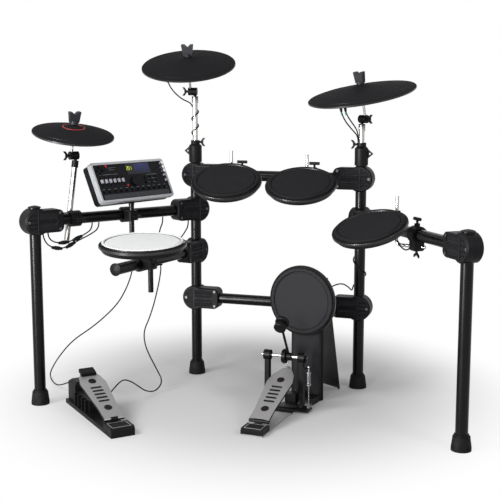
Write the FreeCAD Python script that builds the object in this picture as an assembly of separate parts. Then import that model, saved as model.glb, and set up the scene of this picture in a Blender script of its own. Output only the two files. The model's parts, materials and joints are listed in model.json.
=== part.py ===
import FreeCAD, Part
import math
import os

# Electronic drum kit on a tube rack. Lengths are in millimetres and angles in degrees.
# The kit is built about the floor point midway between the two inner posts, with the
# drummer towards -Y, and is moved at the end so that the origin is under its middle.

# Rack tubes
TUBE_DIAMETER = 38.0
TUBE_WALL = 2.0
INNER_SPAN = 615.0
LEFT_ARM_SPAN = 641.0
LEFT_ARM_ANGLE = 34.5
RIGHT_ARM_SPAN = 693.0
RIGHT_ARM_ANGLE = 38.2
SNARE_ARM_LENGTH = 495.0
SNARE_ARM_ANGLE = 10.9
LOWER_BAR_HEIGHT = 291.0
SNARE_ARM_RISE = 176.0
LEFT_ARM_RISE = 153.0
UPPER_BAR_RISE = 126.0
RIGHT_ARM_DROP = 144.0
INNER_POST_STAND = 104.0
OUTER_LEG_STAND = 46.0
BAR_END_GAP = 1.0

# Shared clearances and the overrun of every cut
SEAT_GAP = 0.1
RUNNING_GAP = 0.08
BODY_GAP = 0.4
OVERRUN = 5.0

# Rubber feet
FOOT_HEIGHT = 49.0
FOOT_FLOOR = 8.0
FOOT_BASE_DIAMETER = 61.0
FOOT_BODY_DIAMETER = 52.0
FOOT_COLLAR_DIAMETER = 45.0
FOOT_COLLAR_HEIGHT = 6.0
FOOT_BASE_HEIGHT = 9.0
FOOT_NOTCH_WIDTH = 7.0
FOOT_NOTCH_DEPTH = 4.0
FOOT_NOTCHES = 8

# Rack clamps, each of two alike shells and three through bolts
CLAMP_ROUND_DIAMETER = 90.0
CLAMP_EXTENSION_HEIGHT = 76.0
CLAMP_REACH = 95.0
CLAMP_DEPTH = 56.0
CLAMP_SPLIT = 0.8
CLAMP_BEVEL = 4.0
CLAMP_END_ROUND = 20.0
CLAMP_LIP = 5.0
CLAMP_RECESS = 2.0
CLAMP_SPINE = 7.0
CLAMP_RIB = 3.0
CLAMP_RIBS = 4
CLAMP_BOLT_DIAMETER = 5.0
CLAMP_BOLT_HEAD = 10.0
CLAMP_HEAD_HEIGHT = 5.0
CLAMP_HEAD_SINK = 6.5
CLAMP_BOLT_EDGE = 11.0
CLAMP_BOLT_INSET = 15.5

# Tube caps
CAP_FLANGE_DIAMETER = 43.0
CAP_FLANGE_HEIGHT = 5.0
CAP_DOME_DIAMETER = 30.0
CAP_DOME_HEIGHT = 3.0
CAP_PLUG_DEPTH = 12.0

# Boom collars on the inner posts
COLLAR_DIAMETER = 47.0
COLLAR_NECK_DIAMETER = 32.0
COLLAR_SHOULDER = 8.0
COLLAR_NECK_HEIGHT = 12.0
COLLAR_OVERLAP = 58.0
COLLAR_EAR_REACH = 18.0
COLLAR_EAR_HEIGHT = 36.0
COLLAR_EAR_THICKNESS = 6.0
COLLAR_EAR_HOLE = 7.0

# Wing bolts and T knobs
BOLT_DIAMETER = 8.0
BOLT_STEM = 14.0
WING_SPAN = 30.0
WING_HEIGHT = 16.0
WING_THICKNESS = 5.0
T_BAR_LENGTH = 36.0
T_BAR_DIAMETER = 11.0

# Rod clamps on the rack tubes
ROD_CLAMP_WALL = 8.0
ROD_CLAMP_WIDTH = 36.0
ROD_CLAMP_BLOCK = 34.0
ROD_CLAMP_OFFSET = 38.0
ROD_CLAMP_BOSS = 9.0
ROD_CLAMP_BOSS_HEIGHT = 8.0
ROD_CLAMP_SLIT = 3.0

# Cymbal stands and tilters
BOOM_DIAMETER = 18.0
BOOM_WALL = 1.5
BOOM_IN_POST = 190.0
TILTER_DIAMETER = 28.0
TILTER_OFFSET = 16.0
TILTER_SOCKET_DIAMETER = 23.0
TILTER_SOCKET_LENGTH = 24.0
TILTER_NECK_DIAMETER = 11.0
TILTER_NECK_LENGTH = 3.0
TILTER_BOLT_DIAMETER = 7.0
CYMBAL_ROD_DIAMETER = 8.4
CYMBAL_ROD_ROOT = 8.0
SEAT_TOP_DIAMETER = 10.0
SEAT_DIAMETER = 28.0
SEAT_SLOPE = 3.0
SEAT_HEIGHT = 7.0

# Cymbals: plastic plate under a rubber playing surface with a raised zone
CYMBAL_HOLE = 14.0
CYMBAL_BOW = 25.0
CYMBAL_PLATE = 3.5
CYMBAL_RUBBER = 5.0
CYMBAL_EDGE = 7.0
CYMBAL_ROLL_SHARE = 0.6
CYMBAL_ROLL_HEIGHT_SHARE = 0.9
CYMBAL_ZONE_RISE = 1.6
CYMBAL_ZONE_MARGIN = 9.0
BELL_RADIUS_SHARE = 0.24
BELL_DROP_SHARE = 0.3
CROWN_RADIUS_SHARE = 0.6
CROWN_DROP_SHARE = 0.35
BOW_MIDDLE_SHARE = 0.62
BOW_MIDDLE_DROP_SHARE = 0.58
ZONE_BACK_SHARE = 0.36
CYMBAL_JACK_DIAMETER = 10.0
CYMBAL_JACK_LENGTH = 20.0
CRASH_JACK = (-74.0, -34.0)
RIDE_JACK = (-24.0, -88.0)
RIDE_SECOND_JACK = (-8.0, -84.0)
HIHAT_JACK = (52.0, 24.0)

# Wing nut over each cymbal
NUT_BASE_DIAMETER = 28.0
NUT_BASE_HEIGHT = 14.0
NUT_WIDTH = 42.0
NUT_HEIGHT = 44.0
NUT_WAIST = 32.0
NUT_NOTCH = 10.0
NUT_THICKNESS = 15.0
NUT_ROD_DEPTH = 20.0

# Places of the cymbals: size, rise of the tilter over its post, rod and lean of the rod
HIHAT_DIAMETER = 275.0
HIHAT_BOOM_LENGTH = 290.0
HIHAT_BOOM_BELOW = 78.0
HIHAT_CLAMP_AT = 145.0
HIHAT_BOOM_LEAN = 8.6
HIHAT_ROD = 97.0
HIHAT_TILT = 13.8
HIHAT_YAW = 52.0
CRASH_DIAMETER = 335.0
CRASH_BOOM_RISE = 195.0
CRASH_ROD = 119.0
CRASH_TILT = 20.5
CRASH_YAW = 11.1
RIDE_DIAMETER = 371.0
RIDE_BOOM_RISE = 101.0
RIDE_ROD = 109.0
RIDE_TILT = 13.8
RIDE_YAW = -29.1

# Drum pads: rubber head and rim on a plastic tray
PAD_DIAMETER = 238.0
PAD_HEAD_DIAMETER = 192.0
SNARE_DIAMETER = 282.0
SNARE_HEAD_DIAMETER = 238.0
PAD_GROOVE = 2.5
PAD_GROOVE_WIDTH = 3.0
PAD_RIM_RISE = 2.5
PAD_CREST_SHARE = 0.34
PAD_RING_SHARE = 0.925
PAD_STEP = 5.0
PAD_FLANGE_ROUND = 3.0
PAD_SKIRT = 14.0
PAD_SKIRT_WALL = 4.0
PAD_SKIN = 9.0
PAD_PLATE = 7.0
PAD_TRAY_DEPTH = 28.0
PAD_TRAY_WALL = 4.0
PAD_TRAY_TAPER = 9.0
PAD_RIBS = 6
PAD_RIB = 4.0
PAD_RIB_HEIGHT = 8.0
PAD_HUB_DIAMETER = 44.0
JACK_DIAMETER = 14.0
JACK_LENGTH = 16.0
JACK_INSET = 36.0

# Pad hinge and the sleeve on its rod
HINGE_OUT = 6.0
HINGE_DROP = 22.0
HINGE_LUG_RADIUS = 8.0
HINGE_LUG_THICKNESS = 6.0
HINGE_LUG_ROOT = 22.0
HINGE_TONGUE = 12.0
HINGE_PIN_DIAMETER = 6.0
HINGE_PIN_HEAD = 3.0
SLEEVE_WALL = 6.0
SLEEVE_ABOVE = 8.0
SLEEVE_BELOW = 26.0
SLEEVE_REACH = 20.0
SNARE_SLEEVE_REACH = 26.0
THUMB_DIAMETER = 20.0
THUMB_THICKNESS = 8.0
THUMB_STEM_DIAMETER = 6.0

# Pad rods
TOM_ROD_DIAMETER = 10.5
TOM_ROD_BEND = 18.0
TOM_ROD_TAIL = 30.0
TOM_ROD_ABOVE = 54.0
SNARE_ROD_DIAMETER = 18.0
SNARE_ROD_BELOW = 96.0

# Places of the pads: clamp on its tube, reach to the rod, hinge's rise over the tube, yaw and tilt
TOM1_CLAMP_AT = 180.0
TOM1_REACH = 117.0
TOM1_HINGE_RISE = 41.0
TOM1_YAW = 12.4
TOM1_TILT = 24.9
TOM2_CLAMP_AT = 448.0
TOM2_REACH = 100.0
TOM2_HINGE_RISE = 32.0
TOM2_YAW = 7.0
TOM2_TILT = 22.9
TOM3_CLAMP_AT = 400.0
TOM3_REACH = 72.0
TOM3_ROD_TURN = 57.0
TOM3_HINGE_RISE = 62.0
TOM3_YAW = -25.0
TOM3_TILT = 20.7
SNARE_CLAMP_AT = 350.0
SNARE_HINGE_RISE = 94.0
SNARE_YAW = 16.0
SNARE_TILT = 5.0

# Kick tower and its pad
TOWER_X = 169.0
TOWER_FRONT = 199.0
TOWER_YAW = -8.0
TOWER_WIDTH = 118.0
TOWER_HEIGHT = 420.0
TOWER_BASE_DEPTH = 172.0
TOWER_TOP_DEPTH = 46.0
TOWER_WALL = 3.0
TOWER_ROUND = 14.0
TOWER_ARCH_HEIGHT = 60.0
TOWER_SPUR_LENGTH = 14.0
TOWER_SPUR_HEIGHT = 5.0
HOOP_REACH = 58.0
HOOP_WIDTH = 104.0
HOOP_HEIGHT = 22.0
HOOP_THICKNESS = 4.0
KICK_HEIGHT = 351.0
KICK_BOSS_DIAMETER = 84.0
KICK_STANDOFF = 44.0
KICK_JACK_TURN = -70.0

# Kick pedal, in its own frame under the middle of the axle
PEDAL_AXLE_X = 132.0
PEDAL_AXLE_Y = 330.0
PEDAL_YAW = -3.8
AXLE_HEIGHT = 181.0
AXLE_DIAMETER = 10.0
AXLE_LENGTH = 158.0
POST_SPREAD = 120.0
POST_WIDTH = 15.0
POST_DEPTH = 22.0
BEARING_DIAMETER = 34.0
BEARING_WIDTH = 22.0
FRAME_FOOT_WIDTH = 178.0
FRAME_FOOT_DEPTH = 46.0
FRAME_FOOT_HEIGHT = 10.0
PEDAL_PLATE = 4.0
PEDAL_PLATE_WIDTH = 78.0
PEDAL_HEEL_WIDTH = 72.0
PEDAL_HEEL_BACK = 296.0
PEDAL_PLATE_FRONT = 40.0
JAW_WIDTH = 34.0
JAW_HEIGHT = 13.0
JAW_GRIP = 22.0
JAW_RISER = 14.0
HEEL_LENGTH = 62.0
HEEL_HEIGHT = 22.0
HEEL_BEVEL = 7.0
HEEL_INLAY_MARGIN = 10.0
HEEL_INLAY_DEPTH = 1.0
BOARD_HINGE_BACK = 230.0
BOARD_HINGE_HEIGHT = 29.0
BOARD_TOE_HEIGHT = 128.0
BOARD_TOE_FRONT = 26.0
BOARD_THICKNESS = 7.0
BOARD_HEEL_WIDTH = 66.0
BOARD_WIDEST = 88.0
BOARD_TOE_WIDTH = 30.0
BOARD_WAIST_SHARE = 0.2
BOARD_WIDEST_SHARE = 0.72
BOARD_NECK_SHARE = 0.86
BOARD_BARREL_DIAMETER = 12.0
BOARD_PIN_DIAMETER = 6.0
BOARD_KNUCKLE = 24.0
BOARD_EAR = 8.0
INLAY_DEPTH = 1.2
INLAY_BAR = 7.0
INLAY_LENGTH_SHARE = 0.56
INLAY_BAR_SHARES = (0.34, 0.41, 0.48, 0.55, 0.62)
INLAY_OVAL_SHARES = (0.2, 0.76)
INLAY_OVAL = 26.0
CAM_RADIUS = 26.0
CAM_WIDTH = 12.0
CAM_TEETH = 14
CAM_TOOTH = 3.0
HUB_DIAMETER = 26.0
HUB_WIDTH = 16.0
HUB_OFFSET = 15.0
CRANK_REACH = 30.0
CRANK_WIDTH = 14.0
CRANK_THICKNESS = 7.0
CRANK_PIN_DIAMETER = 5.0
CRANK_PIN_LENGTH = 9.0
BEATER_REST = 32.0
BEATER_LENGTH = 145.0
BEATER_SHAFT_DIAMETER = 8.0
BEATER_HEAD_DIAMETER = 46.0
BEATER_BACK_DIAMETER = 40.0
BEATER_HEAD_LENGTH = 38.0
BEATER_WAIST_DIAMETER = 24.0
BEATER_WAIST_LENGTH = 12.0
BEATER_EDGE = 2.0
CHAIN_PITCH = 8.0
CHAIN_LINK_WIDTH = 6.0
CHAIN_PLATE = 1.4
CHAIN_INSIDE = 4.0
CHAIN_ROLLER_DIAMETER = 4.0
CHAIN_LINKS = 5
TOE_LUG_WIDTH = 14.0
TOE_LUG_REACH = 12.0
TOE_HOOK_DIAMETER = 3.2

# Pedal spring
SPRING_WIRE = 2.2
SPRING_DIAMETER = 13.0
SPRING_TURNS = 9
SPRING_PITCH = 3.8
SPRING_CAP_DIAMETER = 15.5
SPRING_CAP_HEIGHT = 4.0
SPRING_ROD_DIAMETER = 4.0
SPRING_EYE_DIAMETER = 10.0
SPRING_NUT_DIAMETER = 12.0
SPRING_NUT_HEIGHT = 6.0

# Hi-hat pedal, in its own frame at the heel's middle on the floor
HAT_HEEL_X = -257.0
HAT_HEEL_Y = 753.0
HAT_YAW = 47.0
HAT_LENGTH = 425.0
HAT_WIDTH = 78.0
HAT_PLATE = 14.0
HAT_HEEL_LENGTH = 66.0
HAT_HEEL_HEIGHT = 30.0
HAT_HINGE_AT = 76.0
HAT_HINGE_HEIGHT = 36.0
HAT_TOE_AT = 330.0
HAT_TOE_HEIGHT = 124.0
HAT_TOWER_LENGTH = 70.0
HAT_TOWER_HEIGHT = 84.0
HAT_TOWER_WIDTH = 58.0
HAT_TOWER_ROUND = 10.0
HAT_SILL_LENGTH = 130.0
HAT_SILL_HEIGHT = 56.0
HAT_SILL_WIDTH = 50.0
HAT_RIB = 4.0
HAT_RIBS = 4
HAT_BLOCK_LENGTH = 34.0
HAT_BLOCK_WIDTH = 50.0
HAT_BLOCK_HEIGHT = 13.0
HAT_JACK_AT = 290.0
HAT_JACK_HEIGHT = 40.0
HAT_JACK_OUT = 22.0
HAT_END_JACK_HEIGHT = 62.0

# Sound module, in its own frame on the panel's middle
MODULE_WIDTH = 349.0
MODULE_HEIGHT = 143.0
MODULE_DEPTH = 40.0
MODULE_YAW = 70.0
MODULE_TILT = 24.7
MODULE_CLAMP_AT = 346.0
MODULE_TUBE_DIAMETER = 18.0
MODULE_TUBE_BELOW = 62.0
MODULE_HINGE_RISE = 59.0
MODULE_HINGE_UP = -48.0
MODULE_HINGE_RIGHT = 17.0
MODULE_HINGE_BEHIND = 13.0
MODULE_CORNER = 12.0
BEZEL_BORDER = 9.0
BEZEL_DEPTH = 15.0
BEZEL_RISE = 2.0
BAND_HEIGHT = 20.0
BAND_RISE = 1.0
SCREEN_WIDTH = 112.0
SCREEN_HEIGHT = 40.0
SCREEN_THICKNESS = 2.0
SCREEN_X = 42.0
SCREEN_Y = 42.0
KNOB_DIAMETER = 13.0
KNOB_HEIGHT = 12.0
KNOB_SHAFT_DIAMETER = 6.0
KNOB_SHAFT_LENGTH = 8.0
KNOB_TOP_SHARE = 0.9
KNOB_MARK_SHARE = 0.5
KNOB_LINE_SHARE = 0.1
KNOB_X = 154.0
KNOB_HEIGHT_SHARES = (0.365, 0.26, 0.16)
DIAL_DIAMETER = 34.0
DIAL_HEIGHT = 7.0
DIAL_X = 5.0
DIAL_Y = -4.0
DIAL_DIMPLE = 8.0
FADER_X = -146.0
FADER_PITCH = 19.2
FADER_Y = 3.0
FADERS = 6
FADER_SLOT = 34.0
FADER_SLOT_WIDTH = 3.0
FADER_CAP_WIDTH = 9.0
FADER_CAP_LENGTH = 13.0
FADER_CAP_HEIGHT = 7.0
FADER_STEM = 2.2
BUTTON_DIAMETER = 9.0
BUTTON_HEIGHT = 4.0
BUTTON_TRAVEL = 1.5
BUTTON_ROW_X = -148.0
BUTTON_ROW_Y = -33.0
BUTTON_PITCH = 26.5
BUTTONS = 12
SIDE_BUTTON_X = 157.0
SIDE_BUTTON_PITCH = 19.0
CURSOR_X = -137.0
CURSOR_Y = 43.0
CURSOR_RADIUS = 12.0
CURSORS = 4
KEYPAD_X = 60.0
KEYPAD_Y = 6.0
KEYPAD_PITCH_X = 26.0
KEYPAD_PITCH_Y = 15.0
KEYPAD_COLUMNS = 3
KEYPAD_ROWS = 2

# Cables, each strung smoothly through a few places
LEAD_DIAMETER = 4.6
LEAD_STEP = 46.0
LEAD_BEND_SHARE = 0.45
LEAD_END_SHARE = 0.7
LEAD_SMOOTHING = 24
GAP_STEP_SHARE = 0.25
GAP_NEAR_SHARE = 3.0
LEAD_OUT = 22.0
LEAD_GAP = 0.9
CRASH_WRAP_GAP = 0.8
CRASH_WRAP_PITCH = 50.0
CRASH_WRAP_TURNS = 2
CRASH_WRAP_TOP = 124.5
CRASH_WRAP_LEAD = 20.0
CRASH_LEAD_PLACES = ((-372, -47, 1042), (-346, -34, 1018))
RIDE_LEAD_SPREAD = 16.0
RIDE_LEAD_PLACES = ((269, -43, 927), (285, -15, 908))
RIDE_SECOND_PLACES = ((285, -51, 937), (292, -23, 921))
HAT_LEAD_PLACES = (
    (-447, -256, 475), (-459, -240, 407), (-521, -221, 299), (-622, -212, 206), (-720, -205, 136),
    (-790, -202, 56), (-806, -222, 16), (-775, -270, 5), (-715, -338, 8), (-650, -400, 34))
CUE_LEAD_PLACES = (
    (-388, -140, 570), (-386, -172, 520), (-377, -190, 467), (-362, -202, 420), (-384, -237, 279),
    (-408, -258, 208), (-398, -266, 155), (-362, -268, 89), (-330, -272, 36), (-342, -292, 9),
    (-362, -340, 16), (-382, -412, 68), (-398, -462, 90))
LOOM_LEAD_PLACES = (
    (-637, -478, 523), (-614, -446, 519), (-592, -415, 537), (-561, -368, 556))
LOOM_SECOND_PLACES = ((-623, -456, 538), (-590, -412, 546))
LOOM_STARTS = (28.0, 46.0)
LOOM_ENDS = (238.0, 212.0)
ARCH_LEAD_PLACES = ((-687, -442, 653), (-672, -432, 665))
ARCH_START = 42.0
ARCH_LIFT = 16.0
SNARE_LEAD_PLACES = ((-325, -73, 538), (-314, -160, 523), (-320, -260, 504), (-322, -350, 502))
SNARE_LEAD_START = 34.0
KICK_LEAD_PLACES = ((246, -150, 394), (268, -112, 396), (280, -70, 380))
KICK_WRAP_HEIGHT = 364.0
KICK_WRAP_PITCH = 100.0
KICK_WRAP_TURNS = 1.25
KICK_WRAP_LEAD = 22.0
TOM3_LEAD_PLACES = ((506, -319, 565), (523, -306, 540))
TOM3_LEAD_END = 372.0
CUE_LEAD_START = 497.0

FULL_TURN = 360.0
HALF_TURN = 180.0
TUBE_RADIUS = TUBE_DIAMETER / 2
UP = FreeCAD.Vector(0, 0, 1)
ALONG = FreeCAD.Vector(1, 0, 0)
BACK = FreeCAD.Vector(0, 1, 0)
CENTRE = FreeCAD.Vector(0, 0, 0)

CABLE_NODES = ("crash_lead", "ride_leads", "cable_leads")

nodes = {}


# Helpers

def vec(x, y, z):
    return FreeCAD.Vector(x, y, z)


def unit(vector):
    copy = FreeCAD.Vector(vector)
    copy.normalize()
    return copy


def heading(angle):
    """Level direction turned by the angle from -Y towards +X."""
    turn = math.radians(angle)
    return vec(math.sin(turn), -math.cos(turn), 0)


def tilted(angle, yaw):
    """Direction that leans from straight up by the angle, towards the yaw's heading."""
    lean = math.radians(angle)
    return UP * math.cos(lean) + heading(yaw) * math.sin(lean)


def frame_at(origin, z_axis, x_axis):
    """Placement with the given Z axis and an X axis as near as can be to the given one."""
    z_way = unit(z_axis)
    y_way = unit(z_way.cross(x_axis))
    x_way = y_way.cross(z_way)
    return FreeCAD.Placement(origin, FreeCAD.Rotation(x_way, y_way, z_way, "ZXY"))


def placed(shape, placement):
    copy = shape.copy()
    copy.Placement = placement.multiply(shape.Placement)
    return copy


def add(node, *shapes):
    for shape in shapes:
        nodes.setdefault(node, []).extend(shape.Solids)


def rod(start, end, radius):
    axis = end.sub(start)
    return Part.makeCylinder(radius, axis.Length, start, axis)


def pipe(start, end, outer, inner):
    return rod(start, end, outer).cut(rod(start, end, inner))


def block(x_size, y_size, z_size, centre):
    corner = vec(x_size, y_size, z_size) / 2
    return Part.makeBox(x_size, y_size, z_size, centre.sub(corner))


def slab(points, thickness):
    """Outline extruded along the thickness vector."""
    return Part.Face(Part.makePolygon(points + points[:1])).extrude(thickness)


def turned(profile):
    """Solid turned about Z from (radius, height) pairs."""
    points = [vec(radius, 0, height) for radius, height in profile]
    return Part.Face(Part.makePolygon(points + points[:1])).revolve(CENTRE, UP, FULL_TURN)


def bevelled(shape, size, chosen):
    edges = [edge for edge in shape.Edges if all(chosen(v.Point) for v in edge.Vertexes)]
    return shape.makeChamfer(size, edges)


def near(value, target):
    return abs(value - target) < SEAT_GAP / 10


def corner_arc(before, corner, after, radius):
    """Arc of the radius that rounds a corner, with its first and last points."""
    back_way = unit(before.sub(corner))
    on_way = unit(after.sub(corner))
    half = (math.pi - back_way.getAngle(on_way)) / 2
    reach = radius * math.tan(half)
    inward = unit(back_way + on_way)
    middle = corner + inward * (radius / math.cos(half) - radius)
    return corner + back_way * reach, middle, corner + on_way * reach


def route_wire(points, radii):
    """Straight runs joined by tangent arcs, one radius for each inner point."""
    edges = []
    start = points[0]
    for index, radius in enumerate(radii):
        first, middle, last = corner_arc(*points[index:index + 3], radius)
        edges.append(Part.LineSegment(start, first).toShape())
        edges.append(Part.Arc(first, middle, last).toShape())
        start = last
    edges.append(Part.LineSegment(start, points[-1]).toShape())
    return Part.Wire(edges)


def swept(wire, start, way, radius):
    """Round bar along a wire that starts at a point in the given direction."""
    section = Part.Wire(Part.Circle(start, way, radius).toShape())
    return wire.makePipeShell([section], True, False)


# Places of the rack's posts and bars

LEFT_IN = vec(-INNER_SPAN / 2, 0, 0)
RIGHT_IN = vec(INNER_SPAN / 2, 0, 0)
LEFT_WAY = heading(-LEFT_ARM_ANGLE)
RIGHT_WAY = heading(RIGHT_ARM_ANGLE)
SNARE_WAY = heading(-SNARE_ARM_ANGLE)
LEFT_OUT = LEFT_IN + LEFT_WAY * LEFT_ARM_SPAN
RIGHT_OUT = RIGHT_IN + RIGHT_WAY * RIGHT_ARM_SPAN
SNARE_ARM_HEIGHT = LOWER_BAR_HEIGHT + SNARE_ARM_RISE
LEFT_ARM_HEIGHT = SNARE_ARM_HEIGHT + LEFT_ARM_RISE
UPPER_BAR_HEIGHT = LEFT_ARM_HEIGHT + UPPER_BAR_RISE
RIGHT_ARM_HEIGHT = UPPER_BAR_HEIGHT - RIGHT_ARM_DROP
INNER_POST_TOP = UPPER_BAR_HEIGHT + INNER_POST_STAND
LEFT_LEG_TOP = LEFT_ARM_HEIGHT + OUTER_LEG_STAND
RIGHT_LEG_TOP = RIGHT_ARM_HEIGHT + OUTER_LEG_STAND
RACK_CLAMPS = (
    (LEFT_OUT, LEFT_WAY * -1, LEFT_ARM_HEIGHT),
    (LEFT_IN, LEFT_WAY, LEFT_ARM_HEIGHT),
    (LEFT_IN, ALONG, UPPER_BAR_HEIGHT),
    (LEFT_IN, SNARE_WAY, SNARE_ARM_HEIGHT),
    (LEFT_IN, ALONG, LOWER_BAR_HEIGHT),
    (RIGHT_IN, ALONG * -1, UPPER_BAR_HEIGHT),
    (RIGHT_IN, RIGHT_WAY, RIGHT_ARM_HEIGHT),
    (RIGHT_IN, ALONG * -1, LOWER_BAR_HEIGHT),
    (RIGHT_OUT, RIGHT_WAY * -1, RIGHT_ARM_HEIGHT),
)


def rack_tube(start, end):
    return pipe(start, end, TUBE_RADIUS, TUBE_RADIUS - TUBE_WALL)


def make_rack_tubes():
    posts = (
        (LEFT_OUT, LEFT_LEG_TOP),
        (LEFT_IN, INNER_POST_TOP),
        (RIGHT_IN, INNER_POST_TOP),
        (RIGHT_OUT, RIGHT_LEG_TOP),
    )
    for base, top in posts:
        add("rack_tubes", rack_tube(base + UP * FOOT_FLOOR, base + UP * top))
    inset = TUBE_RADIUS + BAR_END_GAP
    bars = (
        (LEFT_IN, RIGHT_IN, UPPER_BAR_HEIGHT, inset),
        (LEFT_IN, RIGHT_IN, LOWER_BAR_HEIGHT, inset),
        (LEFT_IN, LEFT_OUT, LEFT_ARM_HEIGHT, inset),
        (RIGHT_IN, RIGHT_OUT, RIGHT_ARM_HEIGHT, inset),
        (LEFT_IN, LEFT_IN + SNARE_WAY * SNARE_ARM_LENGTH, SNARE_ARM_HEIGHT, 0),
    )
    for start, end, height, end_inset in bars:
        way = unit(end.sub(start))
        first = start + way * inset + UP * height
        last = end - way * end_inset + UP * height
        add("rack_tubes", rack_tube(first, last))


def rubber_foot():
    hole = TUBE_RADIUS + SEAT_GAP
    body = turned([
        (0, 0),
        (FOOT_BASE_DIAMETER / 2, 0),
        (FOOT_BASE_DIAMETER / 2, FOOT_BASE_HEIGHT),
        (FOOT_BODY_DIAMETER / 2, FOOT_HEIGHT - FOOT_COLLAR_HEIGHT),
        (FOOT_COLLAR_DIAMETER / 2, FOOT_HEIGHT - FOOT_COLLAR_HEIGHT),
        (FOOT_COLLAR_DIAMETER / 2, FOOT_HEIGHT),
        (hole, FOOT_HEIGHT),
        (hole, FOOT_FLOOR),
        (0, FOOT_FLOOR),
    ])
    notch = block(FOOT_NOTCH_DEPTH, FOOT_NOTCH_WIDTH, FOOT_HEIGHT,
                  vec(FOOT_BASE_DIAMETER / 2, 0, FOOT_BASE_HEIGHT + FOOT_HEIGHT / 2))
    cuts = []
    for index in range(FOOT_NOTCHES):
        copy = notch.copy()
        copy.rotate(CENTRE, UP, FULL_TURN * index / FOOT_NOTCHES)
        cuts.append(copy)
    return body.cut(cuts)


def make_feet():
    foot = rubber_foot()
    for base in (LEFT_OUT, LEFT_IN, RIGHT_IN, RIGHT_OUT):
        add("rubber_feet", placed(foot, FreeCAD.Placement(base, FreeCAD.Rotation())))


# Rack clamps: X runs along the bar, Z along the post and -Y out of the front face

def clamp_bolt_places():
    edge = CLAMP_EXTENSION_HEIGHT / 2 - CLAMP_BOLT_EDGE
    outer = CLAMP_REACH - CLAMP_BOLT_INSET
    round_side = (TUBE_RADIUS + CLAMP_ROUND_DIAMETER / 2) / 2
    return (vec(-round_side, 0, 0), vec(outer, 0, edge), vec(outer, 0, -edge))


def clamp_recesses(face):
    """Shallow ribbed half-round and the two panels that lighten a clamp's face."""
    forward = BACK * -1
    start = BACK * (CLAMP_RECESS - face)
    depth = CLAMP_RECESS + OVERRUN
    radius = CLAMP_ROUND_DIAMETER / 2 - CLAMP_BEVEL - CLAMP_LIP
    half = Part.makeCylinder(radius, depth, start, forward)
    keep = block(radius, CLAMP_DEPTH * 2, radius * 2, vec(-radius / 2 - CLAMP_SPINE / 2, 0, 0))
    half = half.common(keep)
    step = radius * 2 / (CLAMP_RIBS + 1)
    ribs = [block(radius * 2, CLAMP_DEPTH * 2, CLAMP_RIB, vec(0, 0, step * (index + 1) - radius))
            for index in range(CLAMP_RIBS)]
    cuts = half.cut(ribs).Solids
    length = CLAMP_REACH - CLAMP_END_ROUND - CLAMP_SPINE
    height = CLAMP_EXTENSION_HEIGHT / 2 - CLAMP_LIP - CLAMP_BEVEL - CLAMP_SPINE / 2
    for side in (-1, 1):
        middle = vec(CLAMP_SPINE / 2 + length / 2, -face - depth / 2 + CLAMP_RECESS,
                     side * (CLAMP_SPINE / 2 + height / 2))
        cuts.append(block(length, depth, height, middle))
    return cuts


def clamp_shell():
    face = CLAMP_DEPTH / 2
    thick = face - CLAMP_SPLIT / 2
    forward = BACK * -1
    drum = Part.makeCylinder(CLAMP_ROUND_DIAMETER / 2, thick, forward * (CLAMP_SPLIT / 2), forward)
    wing = Part.makeBox(CLAMP_REACH, thick, CLAMP_EXTENSION_HEIGHT,
                        vec(0, -face, -CLAMP_EXTENSION_HEIGHT / 2))
    wing = wing.makeFillet(CLAMP_END_ROUND, [
        edge for edge in wing.Edges
        if all(near(v.Point.x, CLAMP_REACH) for v in edge.Vertexes)
        and near(edge.Vertexes[0].Point.z, edge.Vertexes[-1].Point.z)])
    body = drum.fuse(wing).removeSplitter()
    body = bevelled(body, CLAMP_BEVEL, lambda point: near(point.y, -face))
    bore = TUBE_RADIUS + SEAT_GAP
    reach = CLAMP_ROUND_DIAMETER / 2 + OVERRUN
    cuts = [
        rod(UP * -reach, UP * reach, bore),
        rod(CENTRE, ALONG * (CLAMP_REACH + OVERRUN), bore),
    ]
    for place in clamp_bolt_places():
        cuts.append(rod(place, place + forward * (face + OVERRUN), CLAMP_BOLT_DIAMETER / 2 + SEAT_GAP))
        cuts.append(rod(place + forward * (face - CLAMP_HEAD_SINK), place + forward * (face + OVERRUN),
                        CLAMP_BOLT_HEAD / 2 + SEAT_GAP))
    return body.cut(cuts + clamp_recesses(face))


def clamp_bolt():
    """Through bolt with its head at the front and its cap nut at the back."""
    seat = CLAMP_DEPTH / 2 - CLAMP_HEAD_SINK
    head = CLAMP_BOLT_HEAD / 2
    shank = rod(BACK * -seat, BACK * seat, CLAMP_BOLT_DIAMETER / 2)
    ends = [rod(BACK * (side * seat), BACK * (side * (seat + CLAMP_HEAD_HEIGHT)), head)
            for side in (-1, 1)]
    return shank.fuse(ends).removeSplitter()


def make_rack_clamps():
    front = clamp_shell()
    rear = front.copy()
    rear.rotate(CENTRE, ALONG, HALF_TURN)
    bolt = clamp_bolt()
    for post, way, height in RACK_CLAMPS:
        place = frame_at(post + UP * height, UP, way)
        add("clamp_shells", placed(front, place), placed(rear, place))
        for spot in clamp_bolt_places():
            add("clamp_screws", placed(bolt, place.multiply(FreeCAD.Placement(spot, FreeCAD.Rotation()))))


# Caps on the open tube ends and collars that hold the booms

def tube_cap():
    plug = TUBE_RADIUS - TUBE_WALL - SEAT_GAP
    return turned([
        (0, -CAP_PLUG_DEPTH),
        (plug, -CAP_PLUG_DEPTH),
        (plug, 0),
        (CAP_FLANGE_DIAMETER / 2, 0),
        (CAP_FLANGE_DIAMETER / 2, CAP_FLANGE_HEIGHT / 2),
        (CAP_DOME_DIAMETER / 2, CAP_FLANGE_HEIGHT),
        (0, CAP_FLANGE_HEIGHT + CAP_DOME_HEIGHT),
    ])


def collar_bolt_height():
    return COLLAR_SHOULDER + COLLAR_NECK_HEIGHT / 2


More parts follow.
